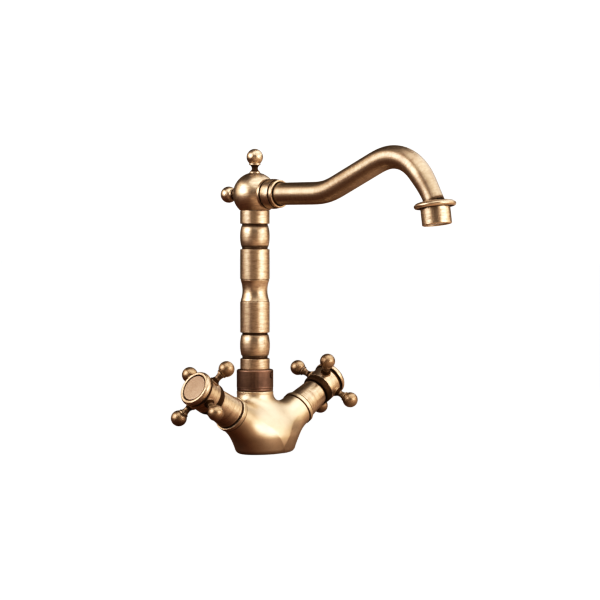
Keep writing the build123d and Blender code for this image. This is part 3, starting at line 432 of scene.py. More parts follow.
class MixerColours(PropertyGroup):
    """Colours of the finishes and of the stage."""

    light_brass: colour_choice("Light brass", "Brass where it is rubbed", (0.70, 0.56, 0.36))
    dark_brass: colour_choice("Dark brass", "Brown patina on the brass", (0.17, 0.062, 0.008))
    # Darker than the light brass: painted shade for the balls' dimmer look under the lamps, over their
    # heavier patina.
    ball_brass: colour_choice("Ball brass", "Brown stained brass of the balls", (0.42, 0.295, 0.15))
    # Darker than the light brass: painted shade, so that the tube looks less lit than the body.
    tube_brass: colour_choice("Tube brass", "Brass of the bent tube", (0.52, 0.415, 0.26))
    nut_brass: colour_choice("Nut", "Ridges of the knurled nut", (0.36, 0.22, 0.14))
    # Patina of the nut; the painted shade in its grooves darkens towards it.
    nut_dark: colour_choice("Nut hollows", "Between the ridges of the nut", (0.035, 0.012, 0.004))
    # Darker than the brass round it: painted shade that dims the disc's reflection of the left soft box.
    disc_brass: colour_choice("Index disc", "Brushed disc of each handle", (0.36, 0.265, 0.175))
    bare_brass: colour_choice("Bare brass", "Machined brass inside the valves", (0.72, 0.50, 0.22))
    steel: colour_choice("Steel", "Screws, washer and split ring", (0.55, 0.54, 0.52))
    rubber: colour_choice("Rubber", "Seals and O-rings", (0.018, 0.018, 0.018))
    ceramic: colour_choice("Ceramic", "Valve discs", (0.80, 0.80, 0.76))
    plastic: colour_choice("Plastic", "Inlet insert and slip washer", (0.72, 0.72, 0.69))
    floor: colour_choice("Floor", "Floor as the metal reflects it", (0.10, 0.038, 0.014))
    surround: colour_choice("Surround", "Room as the metal reflects it", (0.6, 0.25, 0.05))
    # Colour of the pool of light painted on the floor, seen in reflections.
    warm_light: colour_choice("Warm light", "Lit side of the floor, in reflections", (1.0, 0.82, 0.66))


def sizes():
    """The user's sizes."""
    return bpy.context.scene.mixer_sizes


def colour_of(key):
    """One of the user's colours."""
    return tuple(getattr(bpy.context.scene.mixer_colours, key))


BRASSES = {
    # finish: light and dark colours, roughness, and how far it differs from smooth brass
    "cast_antique_brass": ("light_brass", "dark_brass", 0.43, {"grain": 0.7, "patina": 0.3}),
    "turned_antique_brass": (
        "light_brass", "dark_brass", 0.33, {"lines": 1.0, "grain": 0.45, "patina": 0.3}
    ),
    # The ball and tube finishes are darker copies of the turned brass: painted shade.
    "ball_brass": ("ball_brass", "dark_brass", 0.42, {"lines": 0.5, "grain": 0.45, "patina": 0.6}),
    "tube_brass": ("tube_brass", "dark_brass", 0.36, {"lines": 0.7, "grain": 0.45, "patina": 0.5}),
    "dark_bronze_nut": (
        "nut_brass", "nut_dark", 0.36, {"lines": 0.3, "grain": 1.0, "patina": 0.8, "coat": 0.25}
    ),
    # The disc's darker colour is painted shade.
    "brushed_index_disc": (
        "disc_brass", "dark_brass", 0.40, {"lines": 0.5, "pitch": 1.0, "grain": 0.6, "patina": 0.3}
    ),
}
PLAINS = {
    "plain_brass": ("bare_brass", 0.3, {"metal": 1.0}),
    "stainless_steel": ("steel", 0.32, {"metal": 1.0}),
    "black_rubber": ("rubber", 0.62, {}),
    "white_ceramic": ("ceramic", 0.18, {"variety": 0.03, "depth": 0.000005}),
    "white_plastic": ("plastic", 0.45, {"variety": 0.06}),
}


def finish_of(kind):
    """One kind of finish, made the first time that it is asked for.

    Most are named as their slot. The balls and the tube have finishes of their own in the turned
    brass slot, in darker colours that hold painted shade.
    """
    name = f"{kind}_finish"
    if name in bpy.data.materials:
        return bpy.data.materials[name]
    if kind in BRASSES:
        light, dark, rough, more = BRASSES[kind]
        more = {"pitch": sizes().turning_pitch / MM, **more}
        return brass(name, colour_of(light), colour_of(dark), rough, **more)
    colour, rough, more = PLAINS[kind]
    return plain(name, colour_of(colour), rough, **more)


def fit_turned(made, body, stands_for, kind="turned_antique_brass"):
    """Fit a piece of the turned brass slot."""
    fit(made, body, finish_of(kind), stands_for)


# -------- frames of the pieces
UP = axes((0, 0, 1), (1, 0, 0))
GLOBE_CENTRE = np.array([0.0, COLUMN_Y, GLOBE_Z])
COLUMN_ORIGIN = np.array([0.0, COLUMN_Y, 0.0])
FRONT = axes((0, -1, 0), (1, 0, 0))


def arm_axis(side):
    """Direction of an arm, outwards."""
    return np.array([side * cos(ARM_TILT), 0.0, sin(ARM_TILT)])


def rim_frame(side):
    """Middle of an arm's rim, and axes whose third runs out along the arm."""
    return ARM_START + arm_axis(side) * ARM_LENGTH, axes(arm_axis(side), (0, -1, 0))


def spoke_frames(hand, side):
    """Origin and axes of the four spokes of one handle."""
    rim, basis = rim_frame(side)
    middle = rim + basis[2] * SPOKE_HEIGHT
    turns = np.radians(SPOKE_TURNS[hand] + 90.0 * np.arange(4))
    return [(middle, axes(basis[0] * cos(t) + basis[1] * sin(t), basis[2])) for t in turns]


# -------- cast body
SPINE_Z = [-5.0, 0.0, 14.0, 20.0, 45.0, 60.0]
SPINE_HALF_X = [28.5, 28.5, 30.5, 30.5, 15.8, 15.8]
SPINE_HALF_Y = [19.7, 19.7, 21.7, 21.7, 15.8, 15.8]
SPINE_Y = [0.0, 0.0, 0.0, 0.0, 12.4, 12.4]
FOOT_ROUNDING = 3.6
NECK_CUT = 52.4
ARM_CUT = 49.0
ARM_TAPER = ((10.0, 45.0), (16.6, 15.0))    # distances out along an arm, and its radii there
ARM_ROOT = 4.0
BODY_EYE = np.array([0.0, 2.0, 24.0])
BODY_REACH = 90.0      # further from the eye than any of the casting
HALVINGS = 22
CREASE_SHADE = 0.3      # painted shade where the arms run in
FOOT_TONE = 0.35       # rubbed brightness round the foot
FOOT_BAND = (1.2, 1.4)    # its height above the underside, and its width


def eased(z, table, ease=5.5):
    """A table of the spine read at heights z, averaged over a short run so that it has no corners."""
    offsets = np.linspace(-ease, ease, 9)
    return sum(np.interp(z + o, SPINE_Z, table) for o in offsets) / len(offsets)


def soft_least(a, b, width):
    """Lesser of a and b, rounded near where they cross, and how far into that rounding a point lies.

    With h = 1 - |a - b| / width, no less than 0, it is min(a, b) - width h^3 (4 - h) / 16.
    """
    h = np.clip(1 - np.abs(a - b) / width, 0, 1)
    return np.minimum(a, b) - width * h**3 * (4 - h) / 16, 0.25 * h**3


def body_field(p, width):
    """Signed distance to the casting, near enough, and how deep p lies in a blend.

    The base, shoulder and neck are ovals stacked up the Z axis. Each arm is a tapered round bar.
    The three are joined by soft_least, cut flat at the neck and the rims, and rounded at the foot.
    """
    x, y, z = p[..., 0], p[..., 1], p[..., 2]
    half_x, half_y, middle = eased(z, SPINE_HALF_X), eased(z, SPINE_HALF_Y), eased(z, SPINE_Y)
    scaled = np.sqrt((x / half_x) ** 2 + ((y - middle) / half_y) ** 2)
    slope = np.sqrt((x / half_x**2) ** 2 + ((y - middle) / half_y**2) ** 2)
    field = scaled * (scaled - 1) / np.maximum(slope, 1e-6)
    crease = np.zeros_like(field)
    for side in SIDES.values():
        axis = arm_axis(side)
        along = (p - ARM_START) @ axis
        off = np.linalg.norm(p - ARM_START - along[..., None] * axis, axis=-1)
        bar = off - np.interp(along, *ARM_TAPER)
        bar = np.maximum(np.maximum(bar, along - ARM_CUT), ARM_ROOT - along)
        field, blended = soft_least(field, bar, width)
        crease = np.maximum(crease, blended)
    across, down = field + FOOT_ROUNDING, FOOT_ROUNDING - z
    rounded = np.hypot(np.maximum(across, 0), np.maximum(down, 0))
    rounded = rounded + np.minimum(np.maximum(across, down), 0)
    along = np.stack([(p - ARM_START) @ arm_axis(side) for side in SIDES.values()]).max(0)
    field = np.maximum(rounded - FOOT_ROUNDING, np.maximum(z - NECK_CUT, along - ARM_CUT))
    return field, crease


def body_skin(width, rows=220, around=300):
    """Skin of the casting seen from a point inside it: eye + distance * direction, by halving.

    Directions are (cos a, sin a cos b, sin a sin b), a from 0 to half a turn and b once round.
    """
    a = np.linspace(0, pi, rows)[:, None]
    b = np.arange(around)[None] * TURN / around
    direction = np.stack([np.cos(a) + 0 * b, np.sin(a) * np.cos(b), np.sin(a) * np.sin(b)], -1)
    near, far = np.zeros((rows, around)), np.full((rows, around), BODY_REACH)
    for _ in range(HALVINGS):
        middle = (near + far) / 2
        inside = body_field(BODY_EYE + middle[..., None] * direction, width)[0] < 0
        near, far = np.where(inside, middle, near), np.where(inside, far, middle)
    near[0], near[-1] = near[0].mean(), near[-1].mean()
    points = BODY_EYE + near[..., None] * direction
    points[0], points[-1] = points[0].mean(0), points[-1].mean(0)
    # The blends where the arms run in are darkened: painted shade.
    crease = body_field(points, width)[1]
    foot = FOOT_TONE * np.exp(-(((points[..., 2] - FOOT_BAND[0]) / FOOT_BAND[1]) ** 2))
    return surface(points, foot - CREASE_SHADE * crease, np.linspace(0, 1, rows))


STUD_HOLE = profile((0, -1, 0), (3.4, -1, 0), (3.4, 15, 0), (0, 16.5, 0))
INLET_HOLE = profile((0, -1, 0), (4.5, -1, 0), (4.5, 12, 0), (0, 14, 0))
COLUMN_BORE = profile(
    (0, 30.5, 0), (8, 30.5, 0), (8, 40.2, 0), (10.05, 40.2, 0), (10.05, 60, 0), (0, 60, 0)
)
VALVE_BORE = profile(
    (0, -27.1, 0), (7.5, -27.1, 0), (7.5, -22.5, 0), (9.5, -22.5, 0), (9.5, 3, 0), (0, 3, 0)
)
NECK_RING = profile(
    (10.05, 50.3, 0), (16, 50.3, 0.3), (16, 52.9, 0.5), (13.2, 52.9, 0.2),
    (13.2, 65.5, 0.4), (10.05, 65.5, 0.2),
)
ARM_RIM = profile(
    (9.5, -5.4, 0), (14.6, -5.4, 0), (15.5, -4.1, 0.2), (15.65, -3.8, 0.2),
    (15.65, 0, 0.6), (9.5, 0, 0.2),
)
# Painted shade on the rim's chamfer towards the body, which is turned from the light.
ARM_RIM_SHADE = ((-5.4, -3.9, 2.0),)
INLET_X = 13.0
SEAL_GROOVE = {"outer": (23.95, 15.15), "inner": (21.45, 12.65), "depth": 1.6}


def seal_cutter(around=160):
    """Closed ring for the seal's groove, of two ovals (half_x cos a, half_y sin a) at two heights."""
    a = np.arange(around) * TURN / around
    outer, inner = (
        np.stack([half_x * np.cos(a), half_y * np.sin(a)], 1)
        for half_x, half_y in (SEAL_GROOVE["outer"], SEAL_GROOVE["inner"])
    )
    low, high = np.full((around, 1), -1.0), np.full((around, 1), SEAL_GROOVE["depth"])
    rings = [(inner, low), (outer, low), (outer, high), (inner, high)]
    points = np.stack([np.hstack([flat, level]) for flat, level in rings])
    return surface(points, 0.0, np.arange(4.0), closed=True)


class MIXER_OT_body(Operator):
    """Cast body: base, shoulder, neck and arms in one blended skin, with its seats and holes cut"""

    bl_idname = "mixer.body"
    bl_label = "Cast body"

    def execute(self, context):
        skin = body_skin(sizes().arm_blend / MM)
        body = piece("cast_body", [skin])
        coarse = {"around": 64, "spacing": 50.0, "closed": False}
        cuts = [turned(STUD_HOLE, (0, 0, 0), UP, **coarse)]
        cuts.append(turned(COLUMN_BORE, COLUMN_ORIGIN, UP, **coarse))
        for side in SIDES.values():
            cuts.append(turned(INLET_HOLE, (INLET_X * side, 0, 0), UP, **coarse))
            cuts.append(turned(VALVE_BORE, *rim_frame(side), **coarse))
        cutter = piece("body_cutter", cuts + [seal_cutter()])
        cut = body.modifiers.new("seats", "BOOLEAN")
        cut.operation, cut.solver, cut.object = "DIFFERENCE", "EXACT", cutter
        cut_body = body.evaluated_get(bpy.context.evaluated_depsgraph_get())
        shaped = bpy.data.meshes.new_from_object(cut_body)
        body.modifiers.clear()
        bpy.data.objects.remove(cutter)
        whole = body.data
        body.data = shaped
        bpy.data.meshes.remove(whole)
        rims = [turned(NECK_RING, COLUMN_ORIGIN, UP, around=128, spacing=2.5)]
        for side in SIDES.values():
            rims.append(turned(ARM_RIM, *rim_frame(side), around=128, shade_bands=ARM_RIM_SHADE))
        both = [body, piece("body_rims", rims)]
        with bpy.context.temp_override(
            active_object=body, object=body, selected_objects=both, selected_editable_objects=both
        ):
            bpy.ops.object.join()
        body.data.materials.clear()
        fit(body, "body", finish_of("cast_antique_brass"), "body_casting")
        return {"FINISHED"}


# -------- nut
NUT = profile(
    (13.25, 52.95, 0.2), (15.3, 52.95, 0.5), (15.85, 53.7, 0.4), (15.85, 55.3, 0.3),
    (15.6, 55.6, 0.2), (16, 56, 0.3), (16, 70.9, 0.5), (15.3, 71.7, 0.4),
    (10.95, 71.7, 0.3), (10.95, 69.1, 0), (13.25, 69.1, 0),
)
KNURL_BAND = (56.2, 70.6)
KNURL_FADE = 0.5
NUT_R = 16.0
MOAT = {"r": 2.4, "width": 0.35, "depth": 0.45}
BOSS_R = 3.2          # no ridges this close to the grub screw
BOSS_FADE = 0.4


def knurl(angle, height, radius):
    """Straight ridges and the ring round the grub screw.

    Change of radius = -depth * (0.5 + 0.5 cos(count * angle)) on the knurled band, and a round
    groove of moat depth * exp(-((d - moat r) / moat width)^2), where d is the distance along the
    skin from the screw.
    """
    depth = sizes().knurl_depth / MM
    on_skin = np.where(radius > NUT_R - 0.5, 1.0, 0.0)
    low, high = KNURL_BAND
    band = np.clip((height - low) / KNURL_FADE, 0, 1) * np.clip((high - height) / KNURL_FADE, 0, 1)
    groove = 0.5 + 0.5 * np.cos(sizes().knurl_count * angle)
    around = (angle - (GRUB_TURN - pi / 2) + pi) % TURN - pi
    away = np.hypot(around * NUT_R, height - GRUB_Z)
    boss = np.clip((BOSS_R - away) / BOSS_FADE, 0, 1)
    moat = np.exp(-(((away - MOAT["r"]) / MOAT["width"]) ** 2)) * on_skin
    ridge = on_skin * band * (1 - boss) * groove
    # The second value darkens the knurl's grooves and the moat round the screw: painted shade.
    return -depth * ridge - MOAT["depth"] * moat, -0.4 * ridge - moat


class MIXER_OT_nut(Operator):
    """Swivel nut with a straight knurl and a moat round its grub screw"""

    bl_idname = "mixer.nut"
    bl_label = "Swivel nut"

    def execute(self, context):
        around = sizes().knurl_count * 6
        skin = turned(NUT, COLUMN_ORIGIN, UP, around=around, spacing=0.6, ripple=knurl)
        nut = piece("knurled_nut", [skin])
        fit(nut, "body", finish_of("dark_bronze_nut"), "swivel_nut")
        return {"FINISHED"}


# -------- column
COLUMN = profile(
    (7, 40.5, 0), (10, 40.5, 0.3), (10, 66.45, 0), (9, 66.45, 0),
    (9, 68.75, 0), (10.9, 68.75, 0.2), (10.9, 72, 0.1), (12.75, 72, 0.5),
    (12.85, 73, 0), (12.85, 81.2, 0.6), (11.1, 81.2, 0.3), (11.1, 83.6, 0.3),
    swell(83.7, 101.9, 11.8, 13, 0.4, 2.4),
    (11.1, 102, 0.3), (11.1, 103.8, 0.3), (12.85, 103.8, 0.6), (12.85, 130.6, 0.3),
    (12.3, 131, 0.15), (12.3, 131.5, 0.15),
    swell(131.6, 149.5, 12.55, 10.9, 0.15),
    (12.3, 149.6, 0.1), (12.3, 150.2, 0.1), (12.85, 150.5, 0.25), (12.85, 176.4, 0.6),
    (11.2, 176.4, 0.3), (11.2, 177.9, 0.3),
    swell(178, 196.9, 11.5, 12.9, 0.4, 2.6),
    (11.2, 197, 0.3), (11.2, 198.4, 0.3), (12.85, 198.4, 0.6), (12.85, 209.9, 0.45),
    (9, 209.9, 0), (9, 215.9, 0.3), (7, 215.9, 0),
)


class MIXER_OT_column(Operator):
    """Turned column: collars, barrels, cylinders and a waist between dark grooves"""

    bl_idname = "mixer.column"
    bl_label = "Column"

    def execute(self, context):
        column = piece("turned_column", [turned(COLUMN, COLUMN_ORIGIN, UP, spacing=1.6)])
        fit_turned(column, "spout", "column")
        return {"FINISHED"}


# -------- globe and finials
GLOBE = profile(
    (0, -8.2, 0), (9.05, -8.2, 0), (9.05, -14.13, 0), (12.3, -14.13, 0.2),
    arc_rows(0, GLOBE_R, -46.5, 75.6, 70),
    (4.75, 18.25, 0.1), (0, 18.25, 0),
)
GLAND = profile(
    (6.5, 9.4, 0), (9, 9.4, 0), (9, 14, 0), (12.5, 14, 0.4),
    (12.9, 14.6, 0.5), (12.9, 17, 0.6), (11.6, 17.3, 0.25), (11.6, 18.3, 0.25),
    swell(18.4, 26.6, 12.6, 13, 0.5),
    (11.6, 26.7, 0.25), (11.6, 27.7, 0.25), (12.1, 28, 0.6), (12.1, 30.6, 0.9),
    (11.4, 31, 0.4), (10.7, 31, 0.25), (9.75, 29.4, 0.3), (9.75, 16.9, 0),
    (6.5, 16.9, 0),
)


def ball_stem(seat, reach, ball_r, ring_r, ring_thick, neck_r, root_r, thread_r, thread):
    """Outline of a ball on a waisted neck.

    The neck's radius is neck + (end - neck) |t|^2.2, t from -1 at the root to 1 at the ring.
    """
    ring_low = reach - 0.97 * ball_r
    ring_high = ring_low + ring_thick
    root_top = seat + 0.16 * (ring_low - seat)
    t = np.linspace(-1, 1, 19)
    end_r = np.where(t < 0, root_r, 0.84 * ring_r)
    neck = neck_r + (end_r - neck_r) * np.abs(t) ** 2.2
    neck_rows = np.stack([neck, root_top + (ring_low - root_top) * (t + 1) / 2, 0 * t], 1)
    start = -np.degrees(np.arccos(min(1.0, 0.93 * ring_r / ball_r)))
    return profile(
        (0, seat - thread, 0),
        (thread_r, seat - thread, 0.2),
        (thread_r, seat, 0),
        (root_r, seat, 0.2),
        (root_r, root_top, 0.3),
        neck_rows[1:],
        (ring_r, ring_low, 0.3),
        (ring_r, ring_high, 0.4),
        (0.93 * ring_r, ring_high, 0.1),
        arc_rows(reach, ball_r, start, 90, 44),
    )


FINIAL = ball_stem(18.3, 32.2, 7.2, 5.0, 1.7, 2.7, 4.7, 2.5, 5.95)
SPOKE = ball_stem(13.3, 29.2, 6.785, 4.35, 1.3, 2.7, 4.6, 2.0, 4.0)


class MIXER_OT_globe(Operator):
    """Globe head with its two ball finials"""

    bl_idname = "mixer.globe"
    bl_label = "Globe and finials"

    def execute(self, context):
        skin = turned(GLOBE, GLOBE_CENTRE, UP, closed=False, around=160, spacing=1.0)
        globe = piece("globe", [skin])
        fit_turned(globe, "spout", "globe_head")
        for name, direction in (("top", (0, 0, 1)), ("rear", (0, 1, 0))):
            basis = axes(direction, (1, 0, 0))
            skin = turned(FINIAL, GLOBE_CENTRE, basis, closed=False, around=96, spacing=0.8)
            finial = piece(f"{name}_ball", [skin])
            fit_turned(finial, "spout", f"{name}_finial")
        return {"FINISHED"}


# -------- spout
TUBE_R = 9.65
TUBE_END_R = 8.4
TUBE_WALL = 1.4
TUBE_START = 17.0
TUBE_ROUTE = (
    # length of a stretch, and the degrees that it turns upwards
    (58.0, 0.0),
    (18.457, 23.5),
    (55.5, 0.0),
    (46.182, -73.5),
    (23.667, -11.3),
    (6.0, 0.0),
)
TUBE_TAPER = (178.0, 24.0)    # where along the tube it begins to narrow, and over how much
TUBE_LEAVES = 14.0            # how far along the tube comes out of the gland
TUBE_ENTERS = 206.1           # how far along it goes into the flange
FLANGE_BACK = 1.5             # the flange's top stands this far before the tube's end


def tube_path(ease, step=0.5):
    """Middle line of the spout in (distance in front of the column, height), with its directions.

    The heading grows at a steady rate along each bend and is averaged over the ease, and the line
    is the running sum of (cos heading, sin heading). The small gap left at the end is shared out.
    """
    lengths, turns = np.array(TUBE_ROUTE).T
    knots = np.concatenate([[0], np.cumsum(lengths)])
    headings = np.radians(np.concatenate([[0], np.cumsum(turns)]))
    count = int(knots[-1] / step) + 1
    s = np.linspace(0, knots[-1], count)
    sharp = np.interp(s, knots, headings)
    room = np.minimum(np.minimum(s, knots[-1] - s), ease)
    smooth = np.mean([np.interp(s + room * o, knots, headings) for o in np.linspace(-1, 1, 15)], 0)
    gap = s[1] - s[0]

    def line_of(heading):
        middle = (heading[1:] + heading[:-1]) / 2
        moves = gap * np.stack([np.cos(middle), np.sin(middle)], 1)
        return np.vstack([[TUBE_START, GLOBE_Z], [TUBE_START, GLOBE_Z] + np.cumsum(moves, 0)])

    line = line_of(smooth)
    line += (line_of(sharp)[-1] - line[-1]) * (s / s[-1])[:, None]
    return s, line, smooth


def tube_skin(ease, around=128):
    """Tube: middle + radius * (cos a * side + sin a * over), out along the outside and back inside.

    The radius falls from its full size to the end's along the last bend, by a smooth step.
    """
    s, line, heading = tube_path(ease)
    t = np.clip((s - TUBE_TAPER[0]) / TUBE_TAPER[1], 0, 1)
    radius = TUBE_R + (TUBE_END_R - TUBE_R) * t * t * (3 - 2 * t)
    order = np.concatenate([np.arange(len(s)), np.arange(len(s))[::-3]])
    wall = np.where(np.arange(len(order)) < len(s), 0.0, TUBE_WALL)
    a = np.arange(around) * TURN / around
    over = np.stack([0 * heading, np.sin(heading), np.cos(heading)], 1)[order]
    side = np.array([1.0, 0.0, 0.0])
    middle = np.stack([0 * s, COLUMN_Y - line[:, 0], line[:, 1]], 1)[order]
    ring = np.cos(a)[None, :, None] * side + np.sin(a)[None, :, None] * over[:, None]
    points = middle[:, None] + (radius[order] - wall)[:, None, None] * ring
    # Painted shade where the tube goes into the gland and into the flange.
    shade_at_gland = np.exp(-(s[order] - TUBE_LEAVES).clip(0) / 1.2)
    shade_at_flange = np.exp(-(TUBE_ENTERS - s[order]).clip(0) / 0.6)
    tone = -0.6 * (shade_at_gland + shade_at_flange)[:, None]
    return surface(points, tone, s[order] / MAP_LENGTH, closed=True), line[-1]


FLANGE = profile(
    (7, 1.6, 0), (8.45, 1.6, 0), (8.45, 0, 0.3), (10.6, 0.15, 1.6),
    (15.2, 1.2, 2), (17.15, 2.9, 1.3), (17.15, 4.3, 1), (16.2, 5.6, 0.7),
    (12.7, 5.6, 0.25), (12.7, 4.9, 0.2), (10.4, 4.9, 0.2), (10.4, 9.6, 0.2),
    (7, 9.6, 0),
)
HOUSING = profile(
    (10.5, 5.65, 0), (12.1, 5.65, 0.35), (12.1, 19.1, 0.3), (11.6, 19.65, 0.3),
    (9.2, 19.65, 0.3), (9.2, 18.65, 0.2), (10.5, 18.65, 0),
)


def nozzle_frame(line_end):
    """Middle of the flange's top and axes whose third points out of the mouth."""
    out = np.array([0.0, -sin(NOZZLE_TILT), -cos(NOZZLE_TILT)])
    tip = np.array([0.0, COLUMN_Y - line_end[0], line_end[1]])
    return tip - out * FLANGE_BACK, axes(out, (1, 0, 0))


class MIXER_OT_spout(Operator):
    """Ringed gland, bent spout tube, domed flange and aerator housing"""

    bl_idname = "mixer.spout"
    bl_label = "Spout"

    def execute(self, context):
        gland = piece("ringed_gland", [turned(GLAND, GLOBE_CENTRE, FRONT, spacing=0.9)])
        fit_turned(gland, "spout", "gland_ring")
        skin, end = tube_skin(sizes().spout_ease / MM)
        tube = piece("bent_tube", [skin])
        fit_turned(tube, "spout", "spout_tube", "tube_brass")
        place = nozzle_frame(end)
        flange = piece("domed_flange", [turned(FLANGE, *place, spacing=0.8)])
        fit_turned(flange, "spout", "spout_flange")
        housing = piece("aerator_sleeve", [turned(HOUSING, *place, spacing=0.8)])
        fit_turned(housing, "spout", "aerator_housing")
        return {"FINISHED"}


# -------- sleeves and handles
SLEEVE = profile(
    (12.5, 0.05, 0), (14.2, 0.05, 0.2), (14.35, 0.4, 0.2), (14.35, 1.3, 0.3),
    (14, 1.6, 0.2), (12.2, 23.4, 0.1), (11.9, 24, 0.3), (8.65, 24, 0),
    (8.65, 21, 0), (10.6, 21, 0),
)
HUB = profile(
    (2.45, 38, 0), (4.05, 38, 0), (4.05, 28.2, 0), (9.2, 28.2, 0),
    (9.2, 24.7, 0.2), (13.2, 24.7, 0.5), (14, 26.2, 0.5), (14.2, 29.3, 0.2),
    (13.7, 29.6, 0.1), (13.7, 30, 0.1), (14.25, 30.4, 0.3), (14.25, 43.5, 0.5),
    (12.95, 43.5, 0), (12.95, 41, 0), (2.45, 41, 0),
)
CAP = profile(
    (10.4, 41.05, 0), (12.9, 41.05, 0), (12.9, 44.5, 0.25), (15, 44.5, 0.4),
    (15.5, 45.1, 0.5), (15.5, 47.3, 1.3), (14.2, 49.3, 1.5), (12.4, 49.2, 0.3),
    (12, 48.9, 0.2), (12, 47.35, 0.1), (10.4, 47.35, 0),
)
DISC = profile((0, 47.4, 0), (11.2, 47.4, 0.1), (11.2, 48.7, 0.4), (0, 48.9, 0))
# Bands of painted shade: the sleeve's foot by the rim, its end under the hub, the hub's back skirt
# turned from the light, and the gap behind the cap ring.
SLEEVE_SHADE = ((0.0, 1.25, 1.6), (23.2, 24.0, 1.4))
HUB_SHADE = ((24.7, 29.6, 1.6), (42.4, 43.5, 1.6))


class MIXER_OT_handles(Operator):
    """Sleeves over the valves, and each handle's hub, four ball spokes, cap ring and index disc"""

    bl_idname = "mixer.handles"
    bl_label = "Handles"

    def execute(self, context):
        for hand, side in SIDES.items():
            place = rim_frame(side)
            sleeve = piece(f"{hand}_cover", [turned(SLEEVE, *place, spacing=0.8, shade_bands=SLEEVE_SHADE)])
            fit_turned(sleeve, "body", f"{hand}_sleeve")
            rides = f"{hand}_handle"
            hub = piece(f"{hand}_boss", [turned(HUB, *place, spacing=0.8, shade_bands=HUB_SHADE)])
            fit_turned(hub, rides, f"{hand}_hub")
            stems = [
                turned(SPOKE, *spoke, closed=False, around=80, spacing=0.8)
                for spoke in spoke_frames(hand, side)
            ]
            balls = piece(f"{hand}_balls", stems)
            fit_turned(balls, rides, f"{hand}_ball_spokes", "ball_brass")
            cap = piece(f"{hand}_ring", [turned(CAP, *place, spacing=0.7)])
            fit_turned(cap, rides, f"{hand}_cap_ring")
            disc = piece(f"{hand}_disc", [turned(DISC, *place, closed=False, spacing=0.8)])
            brushed = finish_of("brushed_index_disc")
            fit(disc, rides, brushed, f"{hand}_index_disc")
        return {"FINISHED"}


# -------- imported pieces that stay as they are
KEPT = {
    "black_rubber": ["base_seal", "tail_o_rings", "nozzle_washer"]
    + [f"{hand}_{part}" for hand in SIDES for part in ("valve_seal", "stem_o_rings")],
    "stainless_steel": ["split_ring"] + [f"{hand}_handle_screw" for hand in SIDES],
    "dark_bronze_nut": ["grub_screw"],
    "plain_brass": [f"{hand}_{part}" for hand in SIDES for part in ("valve_body", "stem")],
    "white_ceramic": [f"{hand}_{part}" for hand in SIDES for part in ("fixed_disc", "moving_disc")],
    "white_plastic": ["aerator_insert", "aerator_screen", "slip_washer"],
}


class MIXER_OT_kept(Operator):
    """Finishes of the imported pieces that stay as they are: valves, seals, screws and aerator"""

    bl_idname = "mixer.kept"
    bl_label = "Inner pieces"

    def execute(self, context):
        for slot, names in KEPT.items():
            for name in names:
                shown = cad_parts[name]
                shown.data.materials.clear()
                shown.data.materials.append(finish_of(slot))
        return {"FINISHED"}


# -------- stage
CAMERA_PLACE = (-1.2398, -1.2098, 0.1956)
CAMERA_AIM = (0.728, 0.686)
CAMERA_DIP = radians(2.09)
CAMERA_LENS = 120.0
VIEW_SIDE = radians(-136.7)    # towards the viewer, from +X
LIGHTS = (
    # name, turn from the viewer and rise in degrees, distance, width and height in metres,
    # brightness, colour
    ("left_softbox", -76, 25, 1.4, 2.2, 1.1, 1.35, (1, 0.84, 0.72)),
    ("left_core", -66, 24, 1.35, 0.9, 0.9, 3.6, (0.96, 1, 1.12)),
    ("right_softbox", 68, 7, 1.4, 2.2, 1.3, 1.7, (1, 0.84, 0.72)),
    ("right_core", 56, 9, 1.35, 0.8, 0.9, 2.7, (0.96, 1, 1.12)),
    ("back_softbox", 118, 40, 1.4, 1.3, 0.9, 1.7, (1, 0.97, 0.98)),
    ("top_softbox", 35, 66, 1.5, 2, 1.5, 2.3, (1, 0.97, 0.98)),
)
LIGHTS_MEET = 0.12    # height that all lights look at
FLOOR_REACH = 8.0
FLOOR_DROP = 0.0004
GLOW = 1.1            # brightness of the floor and the room, for the camera alone
GLOW_SHARE = 0.92     # the rest of the floor is lit by the lights
ROOM_GLOW = 0.07      # brightness of the room in reflections
POOL_TURN = radians(62.0)
POOL_GLOW = 0.6       # glow of the pool of light painted on the floor, in reflections
POOL_EDGE = 0.12      # metres out from the middle over which it rises
CONTRAST = ((0.05, 0.027), (0.2, 0.16), (0.5, 0.53), (0.8, 0.85))    # brightness, and as shown


def aim(thing, target):
    """Turn a light or a camera so that it looks at a point."""
    way = Vector(target) - thing.location
    thing.rotation_euler = way.to_track_quat("-Z", "Y").to_euler()


